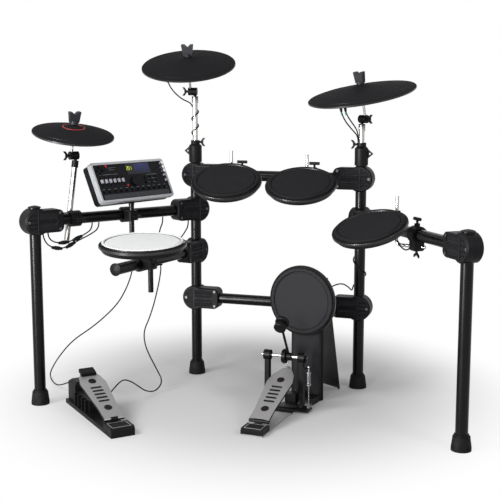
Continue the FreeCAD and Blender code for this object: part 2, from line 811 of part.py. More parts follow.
def boom_collar():
    """Sleeve over a post's top end, with the boom through its neck; Z is 0 at the post's end."""
    outer = COLLAR_DIAMETER / 2
    neck = COLLAR_NECK_DIAMETER / 2
    post_bore = TUBE_RADIUS + SEAT_GAP
    boom_bore = BOOM_DIAMETER / 2 + RUNNING_GAP
    top = COLLAR_SHOULDER + COLLAR_NECK_HEIGHT
    body = turned([
        (post_bore, -COLLAR_OVERLAP),
        (outer, -COLLAR_OVERLAP),
        (outer, 0),
        (neck, COLLAR_SHOULDER),
        (neck, top),
        (boom_bore, top),
        (boom_bore, SEAT_GAP),
        (post_bore, SEAT_GAP),
    ])
    ear = slab([
        vec(outer - COLLAR_EAR_THICKNESS / 2, 0, -COLLAR_EAR_HEIGHT),
        vec(outer + COLLAR_EAR_REACH, 0, -COLLAR_EAR_HEIGHT / 2),
        vec(outer - COLLAR_EAR_THICKNESS / 2, 0, 0),
    ], BACK * COLLAR_EAR_THICKNESS)
    ear.translate(BACK * (-COLLAR_EAR_THICKNESS / 2))
    hole_at = vec(outer + COLLAR_EAR_REACH / 3, -OVERRUN, -COLLAR_EAR_HEIGHT / 2)
    hole = rod(hole_at, hole_at + BACK * (OVERRUN * 2), COLLAR_EAR_HOLE / 2)
    level = UP * collar_bolt_height()
    bolt_hole = rod(level, level - ALONG * (neck + OVERRUN), BOLT_DIAMETER / 2 + SEAT_GAP)
    return body.fuse(ear).cut([hole, bolt_hole]).removeSplitter()


def wing_bolt(tip, seat):
    """Bolt along Z with its tip at one height and wings beyond its seat."""
    head = seat + BOLT_STEM
    shank = rod(UP * tip, UP * head, BOLT_DIAMETER / 2)
    flare = slab([
        vec(-BOLT_DIAMETER / 2, 0, head - WING_HEIGHT / 2),
        vec(BOLT_DIAMETER / 2, 0, head - WING_HEIGHT / 2),
        vec(WING_SPAN / 2, 0, head),
        vec(WING_SPAN / 2, 0, head + WING_HEIGHT / 2),
        vec(BOLT_DIAMETER / 2, 0, head),
        vec(-BOLT_DIAMETER / 2, 0, head),
        vec(-WING_SPAN / 2, 0, head + WING_HEIGHT / 2),
        vec(-WING_SPAN / 2, 0, head),
    ], BACK * WING_THICKNESS)
    flare.translate(BACK * (-WING_THICKNESS / 2))
    return shank.fuse(flare).removeSplitter()


def t_knob(tip, seat):
    """Bolt along Z with a cross bar beyond its seat."""
    head = seat + BOLT_STEM
    bar = rod(vec(-T_BAR_LENGTH / 2, 0, head), vec(T_BAR_LENGTH / 2, 0, head), T_BAR_DIAMETER / 2)
    return rod(UP * tip, UP * head, BOLT_DIAMETER / 2).fuse(bar).removeSplitter()


def make_tube_fittings():
    cap = tube_cap()
    arm_end = LEFT_IN + SNARE_WAY * SNARE_ARM_LENGTH + UP * SNARE_ARM_HEIGHT
    add("tube_fittings",
        placed(cap, frame_at(LEFT_OUT + UP * LEFT_LEG_TOP, UP, ALONG)),
        placed(cap, frame_at(RIGHT_OUT + UP * RIGHT_LEG_TOP, UP, ALONG)),
        placed(cap, frame_at(arm_end, SNARE_WAY, UP)))
    collar = boom_collar()
    bolt = wing_bolt(BOOM_DIAMETER / 2 + BODY_GAP, COLLAR_NECK_DIAMETER / 2)
    for post, ear_way in ((LEFT_IN, ALONG * -1), (RIGHT_IN, ALONG)):
        end = post + UP * INNER_POST_TOP
        add("tube_fittings", placed(collar, frame_at(end, UP, ear_way)))
        spot = end + UP * collar_bolt_height()
        add("clamp_knobs", placed(bolt, frame_at(spot, ear_way * -1, UP)))


# Rod clamps: X along the rack tube, Z from the tube towards the held rod

def rod_clamp(rod_radius, turn):
    outer = TUBE_RADIUS + ROD_CLAMP_WALL
    half = ROD_CLAMP_WIDTH / 2
    far = ROD_CLAMP_OFFSET + rod_radius + ROD_CLAMP_WALL
    ring = rod(ALONG * -half, ALONG * half, outer)
    grip = block(ROD_CLAMP_WIDTH, ROD_CLAMP_BLOCK, far, UP * (far / 2))
    boss = rod(CENTRE, UP * -(outer + ROD_CLAMP_BOSS_HEIGHT), ROD_CLAMP_BOSS)
    body = ring.fuse([grip, boss]).removeSplitter()
    body = bevelled(body, ROD_CLAMP_WALL / 2, lambda point: near(point.z, far))
    way = vec(math.sin(math.radians(turn)), math.cos(math.radians(turn)), 0)
    reach = way * (ROD_CLAMP_WIDTH + OVERRUN)
    level = UP * ROD_CLAMP_OFFSET
    bolt = BOLT_DIAMETER / 2 + SEAT_GAP
    return body.cut([
        rod(ALONG * -(half + OVERRUN), ALONG * (half + OVERRUN), TUBE_RADIUS + SEAT_GAP),
        rod(level - reach, level + reach, rod_radius + RUNNING_GAP),
        block(ROD_CLAMP_WIDTH + OVERRUN, outer, ROD_CLAMP_SLIT, BACK * (-outer / 2 - OVERRUN)),
        rod(CENTRE, UP * -(outer + ROD_CLAMP_BOSS_HEIGHT + OVERRUN), bolt),
        rod(level, UP * (far + OVERRUN), bolt),
    ])


def clamp_on(point, tube_way, block_way, rod_radius, turn):
    """Adds a rod clamp with its T knob and wing bolt, and gives the middle of the held rod."""
    outer = TUBE_RADIUS + ROD_CLAMP_WALL
    place = frame_at(point, block_way, tube_way)
    add("rod_clamps", placed(rod_clamp(rod_radius, turn), place))
    knob = t_knob(TUBE_RADIUS + SEAT_GAP, outer + ROD_CLAMP_BOSS_HEIGHT)
    add("clamp_knobs", placed(knob, frame_at(point, block_way * -1, tube_way)))
    held = point + unit(block_way) * ROD_CLAMP_OFFSET
    bolt = wing_bolt(rod_radius + BODY_GAP, rod_radius + ROD_CLAMP_WALL)
    add("clamp_knobs", placed(bolt, frame_at(held, block_way, tube_way)))
    return held


# Cymbal stands

def cymbal_side(yaw):
    """Level tilter axis, square to the way that the cymbal leans."""
    return unit(UP.cross(heading(yaw)))


def tilter_boom(base, top, axis, side):
    """Boom tube with its tilter half, pivot bolt and wing nut."""
    way = unit(top.sub(base))
    outer = BOOM_DIAMETER / 2
    half = TILTER_OFFSET / 2 - BODY_GAP / 2
    socket_top = top - way * (TILTER_DIAMETER / 2 + TILTER_NECK_LENGTH)
    socket_end = socket_top - way * TILTER_SOCKET_LENGTH
    tube = pipe(base, socket_end + way * (TILTER_SOCKET_LENGTH / 2), outer, outer - BOOM_WALL)
    socket = rod(socket_end, socket_top, TILTER_SOCKET_DIAMETER / 2)
    neck = rod(socket_end, top, TILTER_NECK_DIAMETER / 2)
    disc = rod(top - axis * half, top + axis * half, TILTER_DIAMETER / 2)
    out = axis * side
    seat = top + out * (TILTER_OFFSET + half + BODY_GAP)
    bolt = rod(top, seat, TILTER_BOLT_DIAMETER / 2)
    nut = placed(wing_bolt(0, 0), frame_at(seat, out, way))
    body = tube.fuse([socket, neck, disc, bolt, nut])
    return body.removeSplitter()


def cymbal_rod(pivot, axis, way, length):
    """Tilter head with the rod and the sloped seat that carries the cymbal."""
    half = TILTER_OFFSET / 2 - BODY_GAP / 2
    radius = CYMBAL_ROD_DIAMETER / 2
    head = rod(pivot - axis * half, pivot + axis * half, TILTER_DIAMETER / 2)
    bore = rod(pivot - axis * (half + OVERRUN), pivot + axis * (half + OVERRUN),
               TILTER_BOLT_DIAMETER / 2 + RUNNING_GAP)
    stem = rod(pivot + way * CYMBAL_ROD_ROOT, pivot + way * (length + nut_seat() + NUT_ROD_DEPTH), radius)
    seat = turned([
        (0, -SEAT_HEIGHT - BODY_GAP),
        (SEAT_DIAMETER / 2, -SEAT_HEIGHT - BODY_GAP),
        (SEAT_DIAMETER / 2, -SEAT_SLOPE - BODY_GAP),
        (SEAT_TOP_DIAMETER / 2, -BODY_GAP),
        (0, -BODY_GAP),
    ])
    seat = placed(seat, frame_at(pivot + way * length, way, axis))
    return head.fuse([stem, seat]).cut(bore).removeSplitter()


def bow(radius, lift):
    """Profile points from the bell's hole out to the edge, raised by the lift."""
    bell = radius * BELL_RADIUS_SHARE
    bell_drop = CYMBAL_BOW * BELL_DROP_SHARE
    middle = (bell + (radius - bell) * BOW_MIDDLE_SHARE,
              lift - bell_drop - (CYMBAL_BOW - bell_drop) * BOW_MIDDLE_DROP_SHARE)
    crown = (bell * CROWN_RADIUS_SHARE, lift - bell_drop * CROWN_DROP_SHARE)
    return [(CYMBAL_HOLE / 2, lift), crown, (bell, lift - bell_drop), middle, (radius, lift - CYMBAL_BOW)]


def cymbal_plate(radius, jacks):
    """Bowed plate with the jacks that hang from its underside."""
    inner = radius - CYMBAL_EDGE
    plate = turned(bow(inner, 0) + bow(inner, CYMBAL_PLATE)[::-1])
    stems = [rod(cymbal_jack_tip(jack), vec(*jack, -CYMBAL_BOW * BELL_DROP_SHARE), CYMBAL_JACK_DIAMETER / 2)
             for jack in jacks]
    return plate.fuse(stems).common(turned(bow_block(inner))).removeSplitter()


def cymbal_jack_tip(jack):
    return vec(*jack, -CYMBAL_BOW - CYMBAL_JACK_LENGTH)


def bow_block(radius):
    """Everything under the plate's top face."""
    deep = -CYMBAL_BOW - CYMBAL_JACK_LENGTH * 2
    return [(CYMBAL_HOLE / 2, deep), (radius, deep)] + bow(radius, CYMBAL_PLATE)[::-1]


CYMBAL_JACKS = {"crash": (CRASH_JACK,), "ride": (RIDE_JACK, RIDE_SECOND_JACK), "hihat": (HIHAT_JACK,)}


def cymbal_rubber(radius):
    """Playing surface with a rolled edge and a raised zone that stops short of the back."""
    inner = radius - CYMBAL_EDGE
    top = CYMBAL_PLATE + CYMBAL_RUBBER
    edge = -CYMBAL_BOW
    roll = inner + CYMBAL_EDGE * CYMBAL_ROLL_SHARE
    skin = turned(
        bow(inner, CYMBAL_PLATE)
        + [(inner, edge - CYMBAL_PLATE / 2), (roll, edge - CYMBAL_PLATE / 2), (radius, edge),
           (radius, edge + CYMBAL_RUBBER), (roll, edge + top * CYMBAL_ROLL_HEIGHT_SHARE)]
        + bow(inner, top)[::-1])
    zone_radius = inner - CYMBAL_ZONE_MARGIN
    slope = CYMBAL_ZONE_MARGIN * CYMBAL_BOW / radius
    zone = turned(bow(zone_radius, top - CYMBAL_RUBBER / 2 + slope)
                  + bow(zone_radius, top + CYMBAL_ZONE_RISE + slope / 2)[::-1])
    back = block(radius * 2, radius, radius, BACK * (radius * ZONE_BACK_SHARE + radius / 2))
    return skin.fuse(zone.cut(back)).removeSplitter()


def nut_seat():
    return CYMBAL_PLATE + CYMBAL_RUBBER + CYMBAL_ZONE_RISE + BODY_GAP * 2


def cymbal_nut():
    """Wing nut whose two wings splay up from a round base; Z is 0 at its seat."""
    neck = SEAT_TOP_DIAMETER / 2
    base = turned([
        (0, 0),
        (neck, 0),
        (NUT_BASE_DIAMETER / 2, SEAT_SLOPE),
        (NUT_BASE_DIAMETER / 2, NUT_BASE_HEIGHT),
        (0, NUT_BASE_HEIGHT),
    ])
    wings = slab([
        vec(-NUT_WAIST / 2, 0, NUT_BASE_HEIGHT / 2),
        vec(NUT_WAIST / 2, 0, NUT_BASE_HEIGHT / 2),
        vec(NUT_WIDTH / 2, 0, NUT_HEIGHT),
        vec(NUT_WIDTH / 4, 0, NUT_HEIGHT),
        vec(0, 0, NUT_HEIGHT - NUT_NOTCH),
        vec(-NUT_WIDTH / 4, 0, NUT_HEIGHT),
        vec(-NUT_WIDTH / 2, 0, NUT_HEIGHT),
    ], BACK * NUT_THICKNESS)
    wings.translate(BACK * (-NUT_THICKNESS / 2))
    bore = rod(UP * -OVERRUN, UP * (NUT_ROD_DEPTH + SEAT_GAP), CYMBAL_ROD_DIAMETER / 2 + SEAT_GAP)
    return base.fuse(wings).cut(bore).removeSplitter()


def stand_place(name):
    """Boom base and top, tilter axis and pivot, rod way, cymbal centre and size of a stand."""
    if name == "hihat":
        held = hihat_clamp_point() + hihat_clamp_side() * ROD_CLAMP_OFFSET
        lean = math.radians(HIHAT_BOOM_LEAN)
        way = UP * math.cos(lean) - LEFT_WAY * math.sin(lean)
        base = held - way * HIHAT_BOOM_BELOW
        top = base + way * HIHAT_BOOM_LENGTH
        tilt, yaw, length, side, size = HIHAT_TILT, HIHAT_YAW, HIHAT_ROD, -1, HIHAT_DIAMETER
    else:
        crash = name == "crash"
        post = LEFT_IN if crash else RIGHT_IN
        base = post + UP * (INNER_POST_TOP - BOOM_IN_POST)
        top = post + UP * (INNER_POST_TOP + (CRASH_BOOM_RISE if crash else RIDE_BOOM_RISE))
        tilt, yaw = (CRASH_TILT, CRASH_YAW) if crash else (RIDE_TILT, RIDE_YAW)
        length, side, size = (CRASH_ROD, -1, CRASH_DIAMETER) if crash else (RIDE_ROD, 1, RIDE_DIAMETER)
    axis = cymbal_side(yaw)
    pivot = top + axis * (side * TILTER_OFFSET)
    way = tilted(tilt, yaw)
    return base, top, axis, side, pivot, way, length, pivot + way * length, size


def make_cymbal_stand(name):
    base, top, axis, side, pivot, way, length, centre, size = stand_place(name)
    add(name + "_boom", tilter_boom(base, top, axis, side))
    add(name + "_rod", cymbal_rod(pivot, axis, way, length))
    place = frame_at(centre, way, axis)
    add(name + "_cymbal",
        placed(cymbal_plate(size / 2, CYMBAL_JACKS[name]), place),
        placed(cymbal_rubber(size / 2), place))
    seat = frame_at(centre + way * nut_seat(), way, axis)
    add(name + "_nut", placed(cymbal_nut(), seat))


def hihat_clamp_point():
    return LEFT_OUT - LEFT_WAY * HIHAT_CLAMP_AT + UP * LEFT_ARM_HEIGHT


def hihat_clamp_side():
    return UP.cross(LEFT_WAY) * -1


# Drum pads: Z out of the head, +Y towards the hinge

def pad_head(diameter, head_diameter):
    """Rubber head, groove, raised ring and lower flange in one moulding; Z is 0 on the head."""
    outer = diameter / 2
    head = head_diameter / 2
    rim = head + PAD_GROOVE_WIDTH
    inner = outer - PAD_SKIRT_WALL
    ring = outer * PAD_RING_SHARE
    crest = (ring - rim) * PAD_CREST_SHARE
    return turned([
        (0, -PAD_SKIN),
        (inner, -PAD_SKIN),
        (inner, -PAD_SKIRT),
        (outer, -PAD_SKIRT),
        (outer, -PAD_STEP - PAD_FLANGE_ROUND),
        (outer - PAD_FLANGE_ROUND / 3, -PAD_STEP - PAD_FLANGE_ROUND / 3),
        (outer - PAD_FLANGE_ROUND, -PAD_STEP),
        (ring, -PAD_STEP),
        (ring, 0),
        (ring - crest, PAD_RIM_RISE),
        (rim + crest, PAD_RIM_RISE),
        (rim + crest / 3, 0),
        (rim, -PAD_GROOVE),
        (head, -PAD_GROOVE),
        (head - PAD_GROOVE_WIDTH / 2, 0),
        (0, 0),
    ])


def tray_radius(diameter):
    return diameter / 2 - PAD_SKIRT_WALL - SEAT_GAP


def jack_tip(diameter):
    """Free end of the jack under a pad's tray."""
    return vec(0, tray_radius(diameter) - JACK_INSET, -PAD_SKIN - PAD_PLATE - JACK_LENGTH)


def pad_tray(diameter):
    """Plastic tray under the head, open and ribbed below, with its jack socket."""
    top = tray_radius(diameter)
    wall = top + PAD_SKIRT_WALL / 2
    foot = wall - PAD_TRAY_TAPER
    plate = -PAD_SKIN - PAD_PLATE
    tray = turned([
        (0, -PAD_SKIN),
        (top, -PAD_SKIN),
        (top, -PAD_SKIRT - SEAT_GAP),
        (wall, -PAD_SKIRT - SEAT_GAP),
        (foot, -PAD_TRAY_DEPTH),
        (foot - PAD_TRAY_WALL, -PAD_TRAY_DEPTH),
        (wall - PAD_TRAY_TAPER - PAD_TRAY_WALL, plate),
        (0, plate),
    ])
    hub = rod(UP * plate, UP * (plate - PAD_RIB_HEIGHT), PAD_HUB_DIAMETER / 2)
    span = foot - PAD_TRAY_WALL / 2
    ribs = []
    for index in range(PAD_RIBS):
        rib = block(span, PAD_RIB, PAD_RIB_HEIGHT, vec(span / 2, 0, plate - PAD_RIB_HEIGHT / 2))
        rib.rotate(CENTRE, UP, FULL_TURN * (index + 0.5) / PAD_RIBS)
        ribs.append(rib)
    jack_at = jack_tip(diameter)
    jack = rod(jack_at, jack_at + UP * JACK_LENGTH, JACK_DIAMETER / 2)
    return tray.fuse(ribs + [hub, jack]).removeSplitter()


def hinge_lugs(diameter):
    """Two lugs that reach out from the tray's edge to the hinge pin."""
    pin = vec(0, diameter / 2 + HINGE_OUT, -HINGE_DROP)
    root = tray_radius(diameter) - HINGE_LUG_ROOT
    bottom = -PAD_TRAY_DEPTH
    lugs = []
    for side in (-1, 1):
        start = side * (HINGE_TONGUE / 2 + BODY_GAP)
        thick = ALONG * (side * HINGE_LUG_THICKNESS)
        plate = slab([
            vec(start, root, -PAD_SKIRT - HINGE_LUG_RADIUS / 4),
            vec(start, root, bottom),
            vec(start, pin.y, pin.z - HINGE_LUG_RADIUS),
            vec(start, pin.y, pin.z + HINGE_LUG_RADIUS),
            vec(start, pin.y - HINGE_LUG_RADIUS, -PAD_SKIRT - HINGE_LUG_RADIUS / 4),
        ], thick)
        eye = rod(pin + ALONG * start, pin + ALONG * start + thick, HINGE_LUG_RADIUS)
        bore_end = thick * 2
        bore = rod(pin + ALONG * start - thick, pin + ALONG * start + bore_end,
                   HINGE_PIN_DIAMETER / 2 + RUNNING_GAP)
        lugs.append(plate.fuse(eye).cut(bore))
    return lugs


def pad_sleeve(rod_radius, reach):
    """Sleeve on the rod, with a tongue and pin for the pad; origin on the pin, +Y to the rod."""
    outer = rod_radius + SLEEVE_WALL
    axis = BACK * reach
    tube = rod(axis - UP * SLEEVE_BELOW, axis + UP * SLEEVE_ABOVE, outer)
    tongue = block(HINGE_TONGUE, reach, HINGE_LUG_RADIUS * 2, BACK * (reach / 2))
    eye = rod(ALONG * (-HINGE_TONGUE / 2), ALONG * (HINGE_TONGUE / 2), HINGE_LUG_RADIUS)
    span = HINGE_TONGUE / 2 + HINGE_LUG_THICKNESS + BODY_GAP * 2
    pin = rod(ALONG * -(span + HINGE_PIN_HEAD), ALONG * (span + HINGE_PIN_HEAD), HINGE_PIN_DIAMETER / 2)
    heads = [rod(ALONG * (side * span), ALONG * (side * (span + HINGE_PIN_HEAD)), HINGE_PIN_DIAMETER)
             for side in (-1, 1)]
    level = axis - UP * (SLEEVE_BELOW / 2)
    bore = rod(axis - UP * (SLEEVE_BELOW + OVERRUN), axis + UP * (SLEEVE_ABOVE + OVERRUN),
               rod_radius + RUNNING_GAP)
    screw_hole = rod(level, level + BACK * (outer + OVERRUN), THUMB_STEM_DIAMETER / 2 + SEAT_GAP)
    return tube.fuse([tongue, eye, pin] + heads).cut([bore, screw_hole]).removeSplitter()


def thumb_screw(rod_radius, reach):
    level = BACK * reach - UP * (SLEEVE_BELOW / 2)
    seat = rod_radius + SLEEVE_WALL + THUMB_STEM_DIAMETER
    stem = rod(level + BACK * (rod_radius + BODY_GAP), level + BACK * seat, THUMB_STEM_DIAMETER / 2)
    knob = rod(level + BACK * seat, level + BACK * (seat + THUMB_THICKNESS), THUMB_DIAMETER / 2)
    return stem.fuse(knob).removeSplitter()


def pad_place(name):
    """Rod foot in its clamp, rod axis, hinge pin, pad centre and the pad's frame axes."""
    if name == "snare":
        held = snare_clamp_point() + snare_clamp_side() * ROD_CLAMP_OFFSET
        foot, reach, hinge = held, SNARE_SLEEVE_REACH, held.z + SNARE_HINGE_RISE
        yaw, tilt, size = SNARE_YAW, SNARE_TILT, SNARE_DIAMETER
        stem = held
    else:
        at, length, rise, yaw, tilt = {
            "tom1": (TOM1_CLAMP_AT, TOM1_REACH, TOM1_HINGE_RISE, TOM1_YAW, TOM1_TILT),
            "tom2": (TOM2_CLAMP_AT, TOM2_REACH, TOM2_HINGE_RISE, TOM2_YAW, TOM2_TILT),
            "tom3": (TOM3_CLAMP_AT, TOM3_REACH, TOM3_HINGE_RISE, TOM3_YAW, TOM3_TILT),
        }[name]
        held = tom_clamp_point(name, at)
        hinge = held.z + rise
        foot = held - UP * ROD_CLAMP_OFFSET
        stem = foot + tom_rod_way(name) * length
        reach, size = SLEEVE_REACH, PAD_DIAMETER
    facing = heading(yaw)
    pin = vec(stem.x, stem.y, hinge) + facing * reach
    normal = tilted(tilt, yaw)
    side = unit(UP.cross(facing))
    far = normal.cross(side)
    centre = pin - far * (size / 2 + HINGE_OUT) + normal * HINGE_DROP
    return foot, stem, pin, centre, normal, side, size


def tom_clamp_point(name, at):
    if name == "tom3":
        return RIGHT_IN + RIGHT_WAY * at + UP * RIGHT_ARM_HEIGHT
    return LEFT_IN + ALONG * at + UP * UPPER_BAR_HEIGHT


def tom_bar_way(name):
    return RIGHT_WAY if name == "tom3" else ALONG


def tom_rod_way(name):
    """Level direction from the clamp to the upright leg of a tom's rod."""
    way = unit(UP.cross(tom_bar_way(name))) * -1
    turn = TOM3_ROD_TURN if name == "tom3" else 0
    return FreeCAD.Rotation(UP, -turn).multVec(way)


def snare_clamp_point():
    return LEFT_IN + SNARE_WAY * SNARE_CLAMP_AT + UP * SNARE_ARM_HEIGHT


def snare_clamp_side():
    return unit(UP.cross(SNARE_WAY))


def tom_rod(foot, stem, top):
    """Bent rod from behind the clamp, out to the stem and up to its tip."""
    way = unit(stem.sub(foot))
    tail = foot - way * TOM_ROD_TAIL
    wire = route_wire([tail, stem, vec(stem.x, stem.y, top)], [TOM_ROD_BEND])
    return swept(wire, tail, way, TOM_ROD_DIAMETER / 2)


def make_pad(name):
    foot, stem, pin, centre, normal, side, size = pad_place(name)
    snare = name == "snare"
    radius = (SNARE_ROD_DIAMETER if snare else TOM_ROD_DIAMETER) / 2
    reach = SNARE_SLEEVE_REACH if snare else SLEEVE_REACH
    if snare:
        top = vec(stem.x, stem.y, pin.z + SLEEVE_ABOVE)
        add("snare_rod", rod(stem - UP * SNARE_ROD_BELOW, top, radius))
        clamp_on(snare_clamp_point(), SNARE_WAY, snare_clamp_side(), radius, 0)
    else:
        add(name + "_rod", tom_rod(foot, stem, pin.z + TOM_ROD_ABOVE))
        turn = -TOM3_ROD_TURN if name == "tom3" else 0
        clamp_on(foot + UP * ROD_CLAMP_OFFSET, tom_bar_way(name), UP * -1, radius, turn)
    seat = frame_at(pin, UP, side)
    add(name + "_mount", placed(pad_sleeve(radius, reach), seat), placed(thumb_screw(radius, reach), seat))
    place = frame_at(centre, normal, side)
    head_size = SNARE_HEAD_DIAMETER if snare else PAD_HEAD_DIAMETER
    tray = pad_tray(size).fuse(hinge_lugs(size)).removeSplitter()
    add(name + "_shell", placed(tray, place))
    add(name + "_head", placed(pad_head(size, head_size), place))


# Kick tower: X across, +Y away from the drummer, origin under the front face

def tower_frame():
    front = heading(TOWER_YAW)
    return frame_at(vec(TOWER_X, -TOWER_FRONT, 0), UP, UP.cross(front))


def wedge(width, inset, overrun):
    """Side profile of the tower across a width, drawn in by the wall at front and top."""
    points = [
        vec(-width / 2, inset, -overrun),
        vec(-width / 2, TOWER_BASE_DEPTH + overrun, -overrun),
        vec(-width / 2, TOWER_TOP_DEPTH + overrun, TOWER_HEIGHT - inset),
        vec(-width / 2, inset, TOWER_HEIGHT - inset),
    ]
    body = slab(points, ALONG * width)
    front = [edge for edge in body.Edges
             if all(near(v.Point.y, inset) for v in edge.Vertexes)
             and near(edge.Vertexes[0].Point.x, edge.Vertexes[-1].Point.x)]
    return body.makeFillet(TOWER_ROUND - inset, front)


def tower_arch():
    """Room under the side walls, which slope down from the front wall to a spur at the back."""
    side = -TOWER_WIDTH / 2 - OVERRUN
    back = TOWER_BASE_DEPTH - TOWER_SPUR_LENGTH
    return slab([
        vec(side, TOWER_ROUND, -OVERRUN),
        vec(side, back, -OVERRUN),
        vec(side, back, TOWER_SPUR_HEIGHT),
        vec(side, TOWER_ROUND, TOWER_ARCH_HEIGHT),
    ], ALONG * (TOWER_WIDTH + OVERRUN * 2))


def make_tower():
    shell = wedge(TOWER_WIDTH, 0, 0).cut(wedge(TOWER_WIDTH - TOWER_WALL * 2, TOWER_WALL, OVERRUN))
    plate = block(HOOP_WIDTH, HOOP_REACH, HOOP_THICKNESS,
                  vec(0, -HOOP_REACH / 2, HOOP_HEIGHT - HOOP_THICKNESS / 2))
    legs = [block(HOOP_THICKNESS, HOOP_REACH, HOOP_HEIGHT,
                  vec(side * (HOOP_WIDTH - HOOP_THICKNESS) / 2, -HOOP_REACH / 2, HOOP_HEIGHT / 2))
            for side in (-1, 1)]
    whole = shell.cut(tower_arch()).fuse([plate] + legs).removeSplitter()
    add("kick_tower", placed(whole, tower_frame()))


def kick_frame():
    return tower_frame().multiply(frame_at(vec(0, -KICK_STANDOFF, KICK_HEIGHT), BACK * -1, ALONG))


def make_kick_pad():
    place = kick_frame()
    plate = -PAD_SKIN - PAD_PLATE
    boss = rod(UP * plate, UP * -KICK_STANDOFF, KICK_BOSS_DIAMETER / 2)
    tray = pad_tray(PAD_DIAMETER)
    tray.rotate(CENTRE, UP, KICK_JACK_TURN)
    add("kick_shell", placed(tray.fuse(boss).removeSplitter(), place))
    add("kick_head", placed(pad_head(PAD_DIAMETER, PAD_HEAD_DIAMETER), place))


# Kick pedal: X across, +Y towards the tower, origin under the axle's middle

def pedal_frame():
    front = heading(PEDAL_YAW)
    return frame_at(vec(PEDAL_AXLE_X, -PEDAL_AXLE_Y, 0), UP, UP.cross(front))


def heel_block(width, length, base, height):
    """Heel rest with bevelled edges and a shallow inlay; +Y ends at the hinge."""
    body = block(width, length, height - base, vec(0, -length / 2, (height + base) / 2))
    body = bevelled(body, HEEL_BEVEL, lambda point: near(point.z, height) and point.y < -length / 2
                    or near(point.z, height) and near(point.y, -length))
    inlay = block(width - HEEL_INLAY_MARGIN * 2, length - HEEL_INLAY_MARGIN * 2, HEEL_INLAY_DEPTH * 2,
                  vec(0, -length / 2, height))
    return body.cut(inlay)


def board_outline(length):
    """Footboard outline from the heel hinge at 0 to the toe."""
    half = [
        (0, BOARD_HEEL_WIDTH / 2),
        (length * BOARD_WAIST_SHARE, BOARD_HEEL_WIDTH / 2),
        (length * BOARD_WIDEST_SHARE, BOARD_WIDEST / 2),
        (length * BOARD_NECK_SHARE, BOARD_WIDEST / 2 - BOARD_EAR),
        (length, BOARD_TOE_WIDTH / 2),
    ]
    right = [vec(width, along, 0) for along, width in half]
    left = [vec(-width, along, 0) for along, width in reversed(half)]
    return right + left


def footboard(length):
    """Foot plate with grip recesses and its hinge barrel; Y along the board, Z out of its top."""
    plate = slab(board_outline(length), UP * BOARD_THICKNESS)
    cuts = []
    for share in INLAY_BAR_SHARES:
        width = BOARD_HEEL_WIDTH * INLAY_LENGTH_SHARE
        cuts.append(block(width, INLAY_BAR, INLAY_DEPTH * 2, vec(0, length * share, BOARD_THICKNESS)))
    for share in INLAY_OVAL_SHARES:
        spot = vec(0, length * share, BOARD_THICKNESS - INLAY_DEPTH)
        cuts.append(rod(spot, spot + UP * OVERRUN, INLAY_OVAL / 2))
    plate = plate.cut(cuts)
    outer = BOARD_BARREL_DIAMETER / 2
    level = UP * (BOARD_THICKNESS - outer)
    barrels = []
    for side in (-1, 1):
        start = level + ALONG * (side * (BOARD_KNUCKLE / 2 + BODY_GAP))
        barrels.append(rod(start, level + ALONG * (side * BOARD_HEEL_WIDTH / 2), outer))
    room = rod(level - ALONG * (BOARD_KNUCKLE / 2 + BODY_GAP), level + ALONG * (BOARD_KNUCKLE / 2 + BODY_GAP),
               outer + BODY_GAP * 2)
    bore = rod(level - ALONG * BOARD_HEEL_WIDTH, level + ALONG * BOARD_HEEL_WIDTH,
               BOARD_PIN_DIAMETER / 2 + RUNNING_GAP)
    return plate.fuse(barrels).cut([room, bore]).removeSplitter()


def board_place(hinge_y, hinge_z, toe_y, toe_z):
    """Frame of a footboard whose barrel is on the hinge, with its length up to the toe."""
    run = vec(0, toe_y - hinge_y, toe_z - hinge_z)
    normal = unit(ALONG.cross(run))
    drop = normal * (BOARD_THICKNESS - BOARD_BARREL_DIAMETER / 2)
    return frame_at(vec(0, hinge_y, hinge_z) - drop, normal, ALONG), run.Length


def hinge_knuckle(base, y, z):
    """Middle knuckle on the base, with the hinge pin through it."""
    outer = BOARD_BARREL_DIAMETER / 2
    half = BOARD_KNUCKLE / 2
    centre = vec(0, y, z)
    barrel = rod(centre - ALONG * half, centre + ALONG * half, outer)
    stand = block(BOARD_KNUCKLE, BOARD_BARREL_DIAMETER, z - base, vec(0, y, (z + base) / 2))
    pin = rod(centre - ALONG * (BOARD_HEEL_WIDTH / 2), centre + ALONG * (BOARD_HEEL_WIDTH / 2),
              BOARD_PIN_DIAMETER / 2)
    return [barrel, stand, pin]


